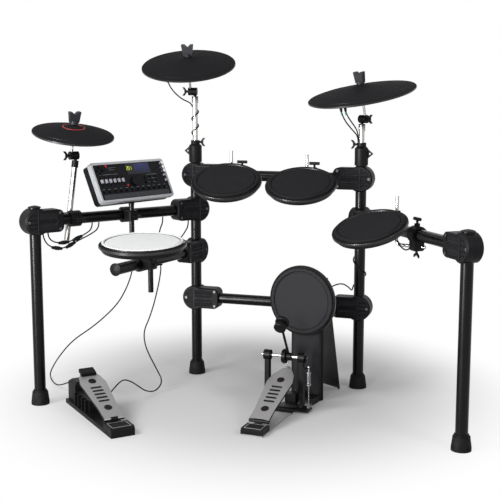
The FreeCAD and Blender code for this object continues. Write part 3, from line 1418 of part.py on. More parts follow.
def make_pedal_base(place):
    back = -PEDAL_HEEL_BACK
    hoop = PEDAL_AXLE_Y - TOWER_FRONT - HOOP_REACH
    jaw = hoop + JAW_GRIP
    plate = slab([
        vec(-PEDAL_HEEL_WIDTH / 2, back, 0),
        vec(PEDAL_HEEL_WIDTH / 2, back, 0),
        vec(PEDAL_PLATE_WIDTH / 2, -FRAME_FOOT_DEPTH, 0),
        vec(PEDAL_PLATE_WIDTH / 2, PEDAL_PLATE_FRONT, 0),
        vec(JAW_WIDTH / 2, hoop, 0),
        vec(JAW_WIDTH / 2, jaw, 0),
        vec(-JAW_WIDTH / 2, jaw, 0),
        vec(-JAW_WIDTH / 2, hoop, 0),
        vec(-PEDAL_PLATE_WIDTH / 2, PEDAL_PLATE_FRONT, 0),
        vec(-PEDAL_PLATE_WIDTH / 2, -FRAME_FOOT_DEPTH, 0),
    ], UP * PEDAL_PLATE)
    low_top = HOOP_HEIGHT - HOOP_THICKNESS - BODY_GAP
    high = HOOP_HEIGHT + BODY_GAP
    front = hoop - BODY_GAP * 2
    pieces = [
        block(JAW_WIDTH, JAW_GRIP / 2, low_top, vec(0, jaw - JAW_GRIP / 4, low_top / 2)),
        block(JAW_WIDTH, JAW_RISER, high + JAW_HEIGHT,
              vec(0, front - JAW_RISER / 2, (high + JAW_HEIGHT) / 2)),
        block(JAW_WIDTH, JAW_RISER + JAW_GRIP, JAW_HEIGHT,
              vec(0, front - JAW_RISER + (JAW_RISER + JAW_GRIP) / 2, high + JAW_HEIGHT / 2)),
    ]
    heel = heel_block(PEDAL_HEEL_WIDTH, HEEL_LENGTH, PEDAL_PLATE, HEEL_HEIGHT)
    heel.translate(vec(0, back + HEEL_LENGTH, 0))
    pieces.append(heel)
    pieces += hinge_knuckle(PEDAL_PLATE, -BOARD_HINGE_BACK, BOARD_HINGE_HEIGHT)
    whole = plate.fuse(pieces).removeSplitter()
    add("kick_pedal_base", placed(whole, place))


def make_pedal_uprights(place):
    foot = block(FRAME_FOOT_WIDTH, FRAME_FOOT_DEPTH, FRAME_FOOT_HEIGHT,
                 vec(0, 0, PEDAL_PLATE + FRAME_FOOT_HEIGHT / 2))
    foot = bevelled(foot, FRAME_FOOT_HEIGHT / 2,
                    lambda point: near(point.z, PEDAL_PLATE + FRAME_FOOT_HEIGHT))
    axle = UP * AXLE_HEIGHT
    pieces = []
    for side in (-1, 1):
        spot = ALONG * (side * POST_SPREAD / 2)
        rise = AXLE_HEIGHT - PEDAL_PLATE - FRAME_FOOT_HEIGHT / 2
        pieces.append(block(POST_WIDTH, POST_DEPTH, rise, spot + UP * (AXLE_HEIGHT - rise / 2)))
        middle = axle + spot
        pieces.append(rod(middle - ALONG * (BEARING_WIDTH / 2), middle + ALONG * (BEARING_WIDTH / 2),
                          BEARING_DIAMETER / 2))
    reach = ALONG * FRAME_FOOT_WIDTH
    bore = rod(axle - reach, axle + reach, AXLE_DIAMETER / 2 + RUNNING_GAP)
    rod_spot = spring_x()
    spring_hole = rod(ALONG * rod_spot, vec(rod_spot, 0, FRAME_FOOT_HEIGHT * 3),
                      SPRING_ROD_DIAMETER / 2 + SEAT_GAP)
    whole = foot.fuse(pieces).cut([bore, spring_hole]).removeSplitter()
    add("kick_pedal_frame", placed(whole, place))


def spring_x():
    """Distance of the spring from the pedal's middle, under the crank pin."""
    return AXLE_LENGTH / 2 + CRANK_PIN_LENGTH / 2 + BODY_GAP


def make_axle(place):
    axle = UP * AXLE_HEIGHT
    half = ALONG * (AXLE_LENGTH / 2)
    shaft = rod(axle - half, axle + half, AXLE_DIAMETER / 2)
    cam = rod(axle - ALONG * (CAM_WIDTH / 2), axle + ALONG * (CAM_WIDTH / 2), CAM_RADIUS - CAM_TOOTH)
    teeth = []
    for index in range(CAM_TEETH):
        tooth = block(CHAIN_INSIDE / 2, CAM_TOOTH * 2, CAM_TOOTH, axle + BACK * (CAM_RADIUS - CAM_TOOTH))
        tooth.rotate(axle, ALONG, FULL_TURN * index / CAM_TEETH)
        teeth.append(tooth)
    hub_middle = axle + ALONG * HUB_OFFSET
    hub = rod(hub_middle - ALONG * (HUB_WIDTH / 2), hub_middle + ALONG * (HUB_WIDTH / 2), HUB_DIAMETER / 2)
    hub_bore = rod(hub_middle, hub_middle + beater_way() * HUB_DIAMETER,
                   BEATER_SHAFT_DIAMETER / 2 + SEAT_GAP)
    end = axle + half
    arm = rod(end, end - ALONG * CRANK_THICKNESS, CRANK_WIDTH / 2)
    tip = end - UP * CRANK_REACH
    tip_disc = rod(tip, tip - ALONG * CRANK_THICKNESS, CRANK_WIDTH / 2)
    web_middle = end - UP * (CRANK_REACH / 2) - ALONG * (CRANK_THICKNESS / 2)
    web = block(CRANK_THICKNESS, CRANK_WIDTH, CRANK_REACH, web_middle)
    pin = rod(tip, tip + ALONG * CRANK_PIN_LENGTH, CRANK_PIN_DIAMETER / 2)
    whole = shaft.fuse([cam, hub, arm, tip_disc, web, pin] + teeth).cut(hub_bore).removeSplitter()
    add("kick_pedal_axle", placed(whole, place))


def beater_way():
    """Direction of the beater's shaft at rest, laid back towards the drummer."""
    lean = math.radians(BEATER_REST)
    return vec(0, -math.sin(lean), math.cos(lean))


def make_beater(place):
    root = UP * AXLE_HEIGHT + ALONG * HUB_OFFSET
    way = beater_way()
    swing = ALONG.cross(way) * -1
    head_at = root + way * BEATER_LENGTH
    shaft = rod(root + way * (AXLE_DIAMETER / 2 + SEAT_GAP), head_at, BEATER_SHAFT_DIAMETER / 2)
    half = BEATER_HEAD_LENGTH / 2
    waist = BEATER_WAIST_LENGTH / 2
    head = turned([
        (0, -half),
        (BEATER_BACK_DIAMETER / 2 - BEATER_EDGE, -half),
        (BEATER_BACK_DIAMETER / 2, -half + BEATER_EDGE),
        (BEATER_BACK_DIAMETER / 2, -waist - BEATER_EDGE),
        (BEATER_BACK_DIAMETER / 2 - BEATER_EDGE, -waist),
        (BEATER_WAIST_DIAMETER / 2, -waist),
        (BEATER_WAIST_DIAMETER / 2, waist),
        (BEATER_HEAD_DIAMETER / 2 - BEATER_EDGE, waist),
        (BEATER_HEAD_DIAMETER / 2, waist + BEATER_EDGE),
        (BEATER_HEAD_DIAMETER / 2, half - BEATER_EDGE),
        (BEATER_HEAD_DIAMETER / 2 - BEATER_EDGE, half),
        (0, half),
    ])
    head = placed(head, frame_at(head_at, swing, ALONG))
    add("kick_beater", placed(shaft.fuse(head).removeSplitter(), place))


def make_footboard(place):
    seat, length = board_place(-BOARD_HINGE_BACK, BOARD_HINGE_HEIGHT, BOARD_TOE_FRONT, BOARD_TOE_HEIGHT)
    lug = block(TOE_LUG_WIDTH, TOE_LUG_REACH * 2, BOARD_THICKNESS, vec(0, length, BOARD_THICKNESS / 2))
    board = placed(footboard(length).fuse(lug).removeSplitter(), seat)
    add("kick_footboard", placed(board, place))


def chain_link():
    """Two plates with rounded ends and a roller, hanging down from its upper pin."""
    pieces = []
    low = CHAIN_ROLLER_DIAMETER / 2 + BODY_GAP - CHAIN_PITCH
    for side in (-1, 1):
        start = side * CHAIN_INSIDE / 2
        thick = ALONG * (side * CHAIN_PLATE)
        pieces.append(slab([
            vec(start, -CHAIN_LINK_WIDTH / 2, CHAIN_LINK_WIDTH / 4),
            vec(start, CHAIN_LINK_WIDTH / 2, CHAIN_LINK_WIDTH / 4),
            vec(start, CHAIN_LINK_WIDTH / 2, low),
            vec(start, -CHAIN_LINK_WIDTH / 2, low),
        ], thick))
    reach = ALONG * (CHAIN_INSIDE / 2 + CHAIN_PLATE)
    pieces.append(rod(CENTRE - reach, reach, CHAIN_ROLLER_DIAMETER / 2))
    return pieces[0].fuse(pieces[1:]).removeSplitter()


def chain_reach():
    """Distance of the chain in front of the axle."""
    return CAM_RADIUS + CHAIN_ROLLER_DIAMETER / 2 + BODY_GAP


def make_chain(place):
    link = chain_link()
    top = vec(0, chain_reach(), AXLE_HEIGHT)
    for index in range(CHAIN_LINKS):
        spot = top - UP * (CHAIN_PITCH * index)
        add("kick_chain", placed(link, place.multiply(FreeCAD.Placement(spot, FreeCAD.Rotation()))))
    rise = (BOARD_TOE_HEIGHT - BOARD_HINGE_HEIGHT) / (BOARD_TOE_FRONT + BOARD_HINGE_BACK)
    lug_top = BOARD_TOE_HEIGHT + rise * (top.y - BOARD_TOE_FRONT)
    lug_top += BOARD_BARREL_DIAMETER / 2 * math.hypot(1, rise)
    hook_foot = vec(0, top.y, lug_top + TOE_HOOK_DIAMETER * rise)
    hook_drop = CHAIN_PITCH * CHAIN_LINKS - CHAIN_ROLLER_DIAMETER / 2 - BODY_GAP - SEAT_GAP
    hook = rod(top - UP * hook_drop, hook_foot, TOE_HOOK_DIAMETER / 2)
    add("kick_chain", placed(hook, place))


def helix_point(radius, pitch, angle):
    turn = math.radians(angle)
    return vec(radius * math.cos(turn), radius * math.sin(turn), pitch * angle / FULL_TURN)


def helix_way(radius, pitch, angle):
    turn = math.radians(angle)
    rise = pitch / math.radians(FULL_TURN)
    return unit(vec(-radius * math.sin(turn), radius * math.cos(turn), rise))


def biarc(start, start_way, end, end_way):
    """Two tangent arcs from one point and direction to another."""
    span = end.sub(start)
    both = start_way + end_way
    bend = 2 * (1 - start_way.dot(end_way))
    lead = span.dot(both)
    reach = (math.sqrt(lead * lead + bend * span.dot(span)) - lead) / bend
    first = start + start_way * reach
    second = end - end_way * reach
    join = (first + second) / 2
    arcs = []
    for a, corner, b in ((start, first, join), (join, second, end)):
        half = unit(corner.sub(a)).getAngle(unit(b.sub(corner))) / 2
        radius = reach / math.tan(half)
        inward = unit(a.sub(corner) + b.sub(corner))
        arcs.append(Part.Arc(a, corner + inward * (radius / math.cos(half) - radius), b).toShape())
    return arcs


def spring_coil():
    """Unbroken round wire, wound up from Z 0, with short straight ends."""
    radius = (SPRING_DIAMETER - SPRING_WIRE) / 2
    step = HALF_TURN / 2
    turns = int(SPRING_TURNS * FULL_TURN / step)
    edges = []
    for index in range(turns):
        angle = index * step
        edges += biarc(helix_point(radius, SPRING_PITCH, angle), helix_way(radius, SPRING_PITCH, angle),
                       helix_point(radius, SPRING_PITCH, angle + step),
                       helix_way(radius, SPRING_PITCH, angle + step))
    wire = Part.Wire(edges)
    start = helix_point(radius, SPRING_PITCH, 0)
    coil = swept(wire, start, helix_way(radius, SPRING_PITCH, 0), SPRING_WIRE / 2)
    print("spring: least gap between turns %.2f mm" % least_gap(wire, SPRING_WIRE))
    return coil, SPRING_PITCH * SPRING_TURNS


def make_spring(place):
    coil, height = spring_coil()
    x = spring_x()
    pin = AXLE_HEIGHT - CRANK_REACH
    top = pin - SPRING_EYE_DIAMETER * 2
    wire = SPRING_WIRE / 2 + SEAT_GAP
    base = top - height - wire * 2
    coil.translate(vec(x, 0, base + wire))
    radius = SPRING_ROD_DIAMETER / 2
    eye_outer = SPRING_EYE_DIAMETER / 2
    eye_at = vec(x, 0, pin)
    eye = pipe(eye_at - ALONG * radius, eye_at + ALONG * radius, eye_outer,
               CRANK_PIN_DIAMETER / 2 + RUNNING_GAP)
    upper = rod(vec(x, 0, top), vec(x, 0, pin - eye_outer + radius / 2), radius)
    upper_cap = rod(vec(x, 0, top), vec(x, 0, top + SPRING_CAP_HEIGHT), SPRING_CAP_DIAMETER / 2)
    lower = rod(vec(x, 0, PEDAL_PLATE), vec(x, 0, base), radius)
    lower_cap = rod(vec(x, 0, base), vec(x, 0, base - SPRING_CAP_HEIGHT), SPRING_CAP_DIAMETER / 2)
    seat = PEDAL_PLATE + FRAME_FOOT_HEIGHT
    nut = rod(vec(x, 0, seat), vec(x, 0, seat + SPRING_NUT_HEIGHT), SPRING_NUT_DIAMETER / 2)
    add("kick_spring", placed(coil, place),
        placed(eye.fuse([upper, upper_cap]).removeSplitter(), place),
        placed(lower.fuse([lower_cap, nut]).removeSplitter(), place))


def make_kick_pedal():
    place = pedal_frame()
    make_pedal_base(place)
    make_pedal_uprights(place)
    make_axle(place)
    make_beater(place)
    make_footboard(place)
    make_chain(place)
    make_spring(place)


# Hi-hat pedal: Y from the heel towards the toe, origin on the floor under the heel's edge

def hat_frame():
    toe = vec(-math.sin(math.radians(HAT_YAW)), math.cos(math.radians(HAT_YAW)), 0)
    return frame_at(vec(HAT_HEEL_X, -HAT_HEEL_Y, 0), UP, toe.cross(UP))


def hat_side_jack():
    return vec(HAT_SILL_WIDTH / 2 + HAT_JACK_OUT / 2, HAT_JACK_AT, HAT_JACK_HEIGHT)


def hat_end_jack():
    return vec(0, HAT_LENGTH + HAT_JACK_OUT / 2, HAT_END_JACK_HEIGHT)


def make_hat_pedal():
    place = hat_frame()
    base = block(HAT_WIDTH, HAT_LENGTH, HAT_PLATE, vec(0, HAT_LENGTH / 2, HAT_PLATE / 2))
    heel = heel_block(HAT_WIDTH, HAT_HEEL_LENGTH, HAT_PLATE, HAT_HEEL_HEIGHT)
    heel.translate(BACK * HAT_HEEL_LENGTH)
    tower_middle = HAT_LENGTH - HAT_TOWER_LENGTH / 2
    tower = block(HAT_TOWER_WIDTH, HAT_TOWER_LENGTH, HAT_TOWER_HEIGHT,
                  vec(0, tower_middle, HAT_TOWER_HEIGHT / 2))
    tower = bevelled(tower, HAT_TOWER_ROUND, lambda point: near(point.z, HAT_TOWER_HEIGHT))
    sill_end = HAT_LENGTH - HAT_TOWER_LENGTH
    sill = block(HAT_SILL_WIDTH, HAT_SILL_LENGTH, HAT_SILL_HEIGHT,
                 vec(0, sill_end - HAT_SILL_LENGTH / 2, HAT_SILL_HEIGHT / 2))
    ribs = []
    for index in range(HAT_RIBS):
        along = sill_end - HAT_SILL_LENGTH * (index + 0.5) / HAT_RIBS
        ribs.append(block(HAT_WIDTH - HAT_RIB, HAT_RIB, HAT_SILL_HEIGHT,
                          vec(0, along, HAT_SILL_HEIGHT / 2)))
    knuckle = hinge_knuckle(HAT_PLATE, HAT_HINGE_AT, HAT_HINGE_HEIGHT)
    jacks = [
        rod(hat_side_jack() - ALONG * HAT_JACK_OUT, hat_side_jack(), JACK_DIAMETER / 2),
        rod(hat_end_jack() - BACK * HAT_JACK_OUT, hat_end_jack(), JACK_DIAMETER / 2),
    ]
    whole = base.fuse([heel, tower, sill] + jacks + ribs + knuckle).removeSplitter()
    add("hat_pedal_base", placed(whole, place))
    seat, length = board_place(HAT_HINGE_AT, HAT_HINGE_HEIGHT, HAT_TOE_AT, HAT_TOE_HEIGHT)
    board = footboard(length)
    toe = block(HAT_BLOCK_WIDTH, HAT_BLOCK_LENGTH, HAT_BLOCK_HEIGHT,
                vec(0, length - HAT_BLOCK_LENGTH / 2, BOARD_THICKNESS + HAT_BLOCK_HEIGHT / 2))
    toe = bevelled(toe, HAT_BLOCK_HEIGHT / 4,
                   lambda point: near(point.z, BOARD_THICKNESS + HAT_BLOCK_HEIGHT))
    board_solid = placed(placed(board, seat), place)
    toe_solid = placed(placed(toe, seat), place)
    add("hat_footboard", board_solid, toe_solid)


# Sound module: X to the right, Y up the panel, Z out of it

def module_axes():
    facing = heading(MODULE_YAW)
    tilt = math.radians(MODULE_TILT)
    normal = facing * math.cos(tilt) + UP * math.sin(tilt)
    right = unit(UP.cross(facing))
    return normal, right


def module_clamp_point():
    return LEFT_OUT - LEFT_WAY * MODULE_CLAMP_AT + UP * LEFT_ARM_HEIGHT


def module_clamp_side():
    return UP.cross(LEFT_WAY)


def module_hinge():
    held = module_clamp_point() + module_clamp_side() * ROD_CLAMP_OFFSET
    return vec(held.x, held.y, LEFT_ARM_HEIGHT + MODULE_HINGE_RISE)


def module_frame():
    normal, right = module_axes()
    up_panel = normal.cross(right)
    back = MODULE_DEPTH + MODULE_HINGE_BEHIND
    centre = module_hinge() - up_panel * MODULE_HINGE_UP - right * MODULE_HINGE_RIGHT + normal * back
    return frame_at(centre, normal, right)


def panel_block(width, height, low, high, round_radius):
    body = block(width, height, high - low, UP * ((low + high) / 2))
    edges = [edge for edge in body.Edges if near(edge.Vertexes[0].Point.x, edge.Vertexes[-1].Point.x)
             and near(edge.Vertexes[0].Point.y, edge.Vertexes[-1].Point.y)]
    return body.makeFillet(round_radius, edges)


def button_places():
    """Centres of the panel's buttons: bottom row, side pair, cursor ring and keypad."""
    places = [(BUTTON_ROW_X + BUTTON_PITCH * index, BUTTON_ROW_Y) for index in range(BUTTONS)]
    places += [(SIDE_BUTTON_X, -SIDE_BUTTON_PITCH * (index - 0.5)) for index in range(2)]
    for index in range(CURSORS):
        turn = math.radians(FULL_TURN * index / CURSORS)
        places.append((CURSOR_X + CURSOR_RADIUS * math.cos(turn),
                       CURSOR_Y + CURSOR_RADIUS * math.sin(turn)))
    for column in range(KEYPAD_COLUMNS):
        for row in range(KEYPAD_ROWS):
            places.append((KEYPAD_X + KEYPAD_PITCH_X * column, KEYPAD_Y - KEYPAD_PITCH_Y * row))
    return [vec(x, y, 0) for x, y in places]


def fader_places():
    return [vec(FADER_X + FADER_PITCH * index, FADER_Y, 0) for index in range(FADERS)]


def knob_places():
    return [vec(KNOB_X, MODULE_HEIGHT * share, 0) for share in KNOB_HEIGHT_SHARES]


def dial_place():
    return vec(DIAL_X, DIAL_Y, 0)


def module_lugs():
    """Lugs behind the housing for the bracket's pin."""
    pin = vec(MODULE_HINGE_RIGHT, MODULE_HINGE_UP, -MODULE_DEPTH - MODULE_HINGE_BEHIND)
    lugs = []
    for side in (-1, 1):
        start = ALONG * (side * (HINGE_TONGUE / 2 + BODY_GAP))
        thick = ALONG * (side * HINGE_LUG_THICKNESS)
        eye = rod(pin + start, pin + start + thick, HINGE_LUG_RADIUS)
        plate = block(HINGE_LUG_THICKNESS, HINGE_LUG_RADIUS * 2, MODULE_HINGE_BEHIND,
                      pin + start + thick / 2 + UP * (MODULE_HINGE_BEHIND / 2))
        bore = rod(pin + start - thick, pin + start + thick * 2, HINGE_PIN_DIAMETER / 2 + RUNNING_GAP)
        lugs.append(eye.fuse(plate).cut(bore))
    return lugs


def make_module():
    place = module_frame()
    inner_width = MODULE_WIDTH - BEZEL_BORDER * 2
    inner_height = MODULE_HEIGHT - BEZEL_BORDER * 2
    tight = SEAT_GAP * 2
    front = panel_block(inner_width - tight, inner_height - tight, -BEZEL_DEPTH, 0, MODULE_CORNER / 2)
    rear = panel_block(MODULE_WIDTH - BEZEL_BORDER / 2, MODULE_HEIGHT - BEZEL_BORDER / 2,
                       -MODULE_DEPTH, -BEZEL_DEPTH, MODULE_CORNER)
    band = block(inner_width - tight - MODULE_CORNER, BAND_HEIGHT, BAND_RISE,
                 vec(0, -inner_height / 2 + BAND_HEIGHT / 2 + tight, BAND_RISE / 2))
    body = front.fuse([rear, band] + module_lugs()).removeSplitter()
    depth = KNOB_SHAFT_LENGTH + BODY_GAP
    shaft_bore = KNOB_SHAFT_DIAMETER / 2 + RUNNING_GAP
    cuts = [block(SCREEN_WIDTH + tight, SCREEN_HEIGHT + tight, SCREEN_THICKNESS * 2,
                  vec(SCREEN_X, SCREEN_Y, 0))]
    for spot in knob_places() + [dial_place()]:
        cuts.append(rod(spot - UP * depth, spot + UP * OVERRUN, shaft_bore))
    for spot in fader_places():
        cuts.append(block(FADER_SLOT_WIDTH, FADER_SLOT, depth * 2, spot))
    for spot in button_places():
        cuts.append(rod(spot - UP * depth, spot + UP * OVERRUN, BUTTON_DIAMETER / 2 + BODY_GAP))
    add("module_housing", placed(body.cut(cuts), place))
    ring = panel_block(MODULE_WIDTH, MODULE_HEIGHT, -BEZEL_DEPTH + SEAT_GAP, BEZEL_RISE, MODULE_CORNER)
    ring = bevelled(ring, BEZEL_RISE, lambda point: near(point.z, BEZEL_RISE))
    hole = panel_block(inner_width, inner_height, -BEZEL_DEPTH - OVERRUN, BEZEL_RISE + OVERRUN,
                       MODULE_CORNER / 2)
    add("module_bezel", placed(ring.cut(hole), place))
    screen = block(SCREEN_WIDTH, SCREEN_HEIGHT, SCREEN_THICKNESS,
                   vec(SCREEN_X, SCREEN_Y, -SCREEN_THICKNESS / 2))
    add("module_screen", placed(screen, place))
    make_controls(place)
    make_module_bracket()


def knob(diameter, height, dimple):
    radius = diameter / 2
    body = turned([
        (0, BODY_GAP),
        (radius, BODY_GAP),
        (radius * KNOB_TOP_SHARE, height),
        (0, height),
    ])
    shaft = rod(UP * -KNOB_SHAFT_LENGTH, UP * (BODY_GAP * 2), KNOB_SHAFT_DIAMETER / 2)
    mark_at = vec(0, radius * KNOB_MARK_SHARE, height)
    if dimple:
        mark = rod(mark_at - UP * (dimple / 6), mark_at + UP * OVERRUN, dimple / 2)
    else:
        line = diameter * KNOB_LINE_SHARE
        mark = block(line, radius * KNOB_MARK_SHARE, line, mark_at)
    return body.fuse(shaft).cut(mark).removeSplitter()


def make_controls(place):
    small = knob(KNOB_DIAMETER, KNOB_HEIGHT, 0)
    for index, spot in enumerate(knob_places()):
        seat = place.multiply(FreeCAD.Placement(spot, FreeCAD.Rotation()))
        add("module_knob_%d" % (index + 1), placed(small, seat))
    dial = knob(DIAL_DIAMETER, DIAL_HEIGHT, DIAL_DIMPLE)
    add("module_dial", placed(dial, place.multiply(FreeCAD.Placement(dial_place(), FreeCAD.Rotation()))))
    for spot in fader_places():
        cap = block(FADER_CAP_WIDTH, FADER_CAP_LENGTH, FADER_CAP_HEIGHT,
                    spot + UP * (BODY_GAP + FADER_CAP_HEIGHT / 2))
        level = spot.z + BODY_GAP + FADER_CAP_HEIGHT
        cap = bevelled(cap, FADER_CAP_HEIGHT / 4, lambda point: near(point.z, level))
        stem = block(FADER_STEM, FADER_STEM * 2, KNOB_SHAFT_LENGTH,
                     spot - UP * (KNOB_SHAFT_LENGTH / 2 - BODY_GAP))
        add("module_faders", placed(cap.fuse(stem).removeSplitter(), place))
    for spot in button_places():
        foot = spot - UP * (KNOB_SHAFT_LENGTH - BUTTON_TRAVEL)
        cap = rod(foot, spot + UP * BUTTON_HEIGHT, BUTTON_DIAMETER / 2)
        add("module_buttons", placed(cap, place))


def make_module_bracket():
    """Tube in the arm's clamp, with the tongue and pin that carry the module."""
    normal, right = module_axes()
    pin = module_hinge()
    held = vec(pin.x, pin.y, LEFT_ARM_HEIGHT)
    radius = MODULE_TUBE_DIAMETER / 2
    tube = rod(held - UP * MODULE_TUBE_BELOW, pin - UP * HINGE_LUG_RADIUS * 2, radius)
    bore = rod(held - UP * (MODULE_TUBE_BELOW + OVERRUN), held, radius - BOOM_WALL)
    tongue = block(HINGE_TONGUE, HINGE_LUG_RADIUS * 2, HINGE_LUG_RADIUS * 3, UP * (-HINGE_LUG_RADIUS * 1.5))
    span = HINGE_TONGUE / 2 + HINGE_LUG_THICKNESS + BODY_GAP * 2
    shaft = rod(ALONG * -(span + HINGE_PIN_HEAD), ALONG * (span + HINGE_PIN_HEAD), HINGE_PIN_DIAMETER / 2)
    heads = [rod(ALONG * (side * span), ALONG * (side * (span + HINGE_PIN_HEAD)), HINGE_PIN_DIAMETER)
             for side in (-1, 1)]
    eye = rod(ALONG * (-HINGE_TONGUE / 2), ALONG * (HINGE_TONGUE / 2), HINGE_LUG_RADIUS)
    yoke = placed(tongue.fuse([eye, shaft] + heads), frame_at(pin, UP, right))
    add("module_bracket", tube.fuse(yoke).cut(bore).removeSplitter())
    clamp_on(module_clamp_point(), LEFT_WAY, module_clamp_side(), radius, 0)


# Cables

def strung(knots):
    """Straight run at each end, and points at even steps along a smooth line through the knots between."""
    fine = []
    for a, b, c, d in zip(knots, knots[1:], knots[2:], knots[3:]):
        for index in range(LEAD_SMOOTHING):
            t = index / LEAD_SMOOTHING
            bend = (a * 2 - b * 5 + c * 4 - d) * (t * t) + (b * 3 - a - c * 3 + d) * (t * t * t)
            fine.append((b * 2 + (c - a) * t + bend) / 2)
    fine.append(knots[-2])
    marks = [0]
    for a, b in zip(fine, fine[1:]):
        marks.append(marks[-1] + b.sub(a).Length)
    runs = max(3, round(marks[-1] / LEAD_STEP))
    step = marks[-1] / (runs - 2 + 2 * LEAD_END_SHARE)
    points = [knots[0], knots[1]]
    for index in range(runs - 1):
        wanted = step * (LEAD_END_SHARE + index)
        spot = max(i for i, mark in enumerate(marks) if mark <= wanted)
        share = (wanted - marks[spot]) / (marks[spot + 1] - marks[spot])
        points.append(fine[spot] + (fine[spot + 1] - fine[spot]) * share)
    return points + [knots[-2], knots[-1]]


def lead_radii(points):
    """Arc radii that the runs of a lead allow."""
    radii = []
    for before, corner, after in zip(points, points[1:], points[2:]):
        back_way = before.sub(corner)
        on_way = after.sub(corner)
        half = (math.pi - back_way.getAngle(on_way)) / 2
        radii.append(LEAD_BEND_SHARE * min(back_way.Length, on_way.Length) / math.tan(half))
    return radii


def least_gap(wire, diameter):
    """Least free space between the turns of a wound wire, measured on points along it."""
    points = wire.discretize(Distance=diameter * GAP_STEP_SHARE)
    skip = round(GAP_NEAR_SHARE / GAP_STEP_SHARE)
    nearest = min(a.distanceToPoint(b) for index, a in enumerate(points) for b in points[index + skip:])
    return nearest - diameter


def lead(node, title, points, winding=()):
    """Adds the tube of a cable along its route and any winding at its end."""
    radii = lead_radii(points)
    wire = Part.Wire(route_wire(points, radii).Edges + list(winding))
    tube = swept(wire, points[0], points[1].sub(points[0]), LEAD_DIAMETER / 2)
    plain = math.pi * LEAD_DIAMETER ** 2 / 4 * wire.Length
    print("%s: length %.0f mm, least bend %.1f mm, volume share %.4f, lowest %.1f"
          % (title, wire.Length, min(radii), tube.Volume / plain, tube.BoundBox.ZMin))
    if winding:
        print("%s: least gap between turns %.2f mm" % (title, least_gap(wire, LEAD_DIAMETER)))
    add(node, tube)


def places(table):
    return [vec(*place) for place in table]


def winding(foot, radius, pitch, turns):
    """Arcs of a cable wound round an upright tube, from its left side and away at the back."""
    step = HALF_TURN / 2
    turn = FreeCAD.Rotation(ALONG, HALF_TURN)
    edges = []

    def spot(angle):
        point = helix_point(radius, -pitch, HALF_TURN + angle)
        start = helix_point(radius, -pitch, HALF_TURN)
        return foot + turn.multVec(vec(point.x, point.y, point.z - start.z))

    def way(angle):
        return turn.multVec(helix_way(radius, -pitch, HALF_TURN + angle))

    for index in range(int(turns * FULL_TURN / step)):
        angle = index * step
        edges += biarc(spot(angle), way(angle), spot(angle + step), way(angle + step))
    last = turns * FULL_TURN
    return edges, spot(0), way(0), spot(last), way(last)


def cymbal_lead_start(name, jack):
    base, top, axis, side, pivot, way, length, centre, size = stand_place(name)
    tip = frame_at(centre, way, axis).multVec(cymbal_jack_tip(jack))
    return [tip - way * LEAD_GAP, tip - way * LEAD_OUT]


def make_cymbal_leads():
    collar_top = INNER_POST_TOP + COLLAR_SHOULDER + COLLAR_NECK_HEIGHT
    radius = BOOM_DIAMETER / 2 + LEAD_DIAMETER / 2 + CRASH_WRAP_GAP
    foot = LEFT_IN + UP * (collar_top + CRASH_WRAP_TOP)
    edges, start, start_way, end, end_way = winding(foot, radius, -CRASH_WRAP_PITCH, CRASH_WRAP_TURNS)
    route = strung(cymbal_lead_start("crash", CRASH_JACK) + places(CRASH_LEAD_PLACES)
                   + [start - start_way * CRASH_WRAP_LEAD, start])
    tail = [Part.LineSegment(end, end + end_way * CRASH_WRAP_LEAD).toShape()]
    lead("crash_lead", "crash lead", route, edges + tail)
    for jack, table, turn in ((RIDE_JACK, RIDE_LEAD_PLACES, 1), (RIDE_SECOND_JACK, RIDE_SECOND_PLACES, -1)):
        entry = RIGHT_IN + heading(-HALF_TURN / 2 + turn * RIDE_LEAD_SPREAD) * radius
        route = strung(cymbal_lead_start("ride", jack) + places(table)
                       + [entry + UP * (collar_top + LEAD_OUT), entry + UP * (collar_top + LEAD_GAP)])
        lead("ride_leads", "ride lead", route)


def arm_point(along, out, height):
    return LEFT_OUT - LEFT_WAY * along + hihat_clamp_side() * out + UP * (LEFT_ARM_HEIGHT + height)


def hung(point):
    """Start of a lead that leaves a surface straight down from a point."""
    return [point - UP * LEAD_GAP, point - UP * LEAD_OUT]


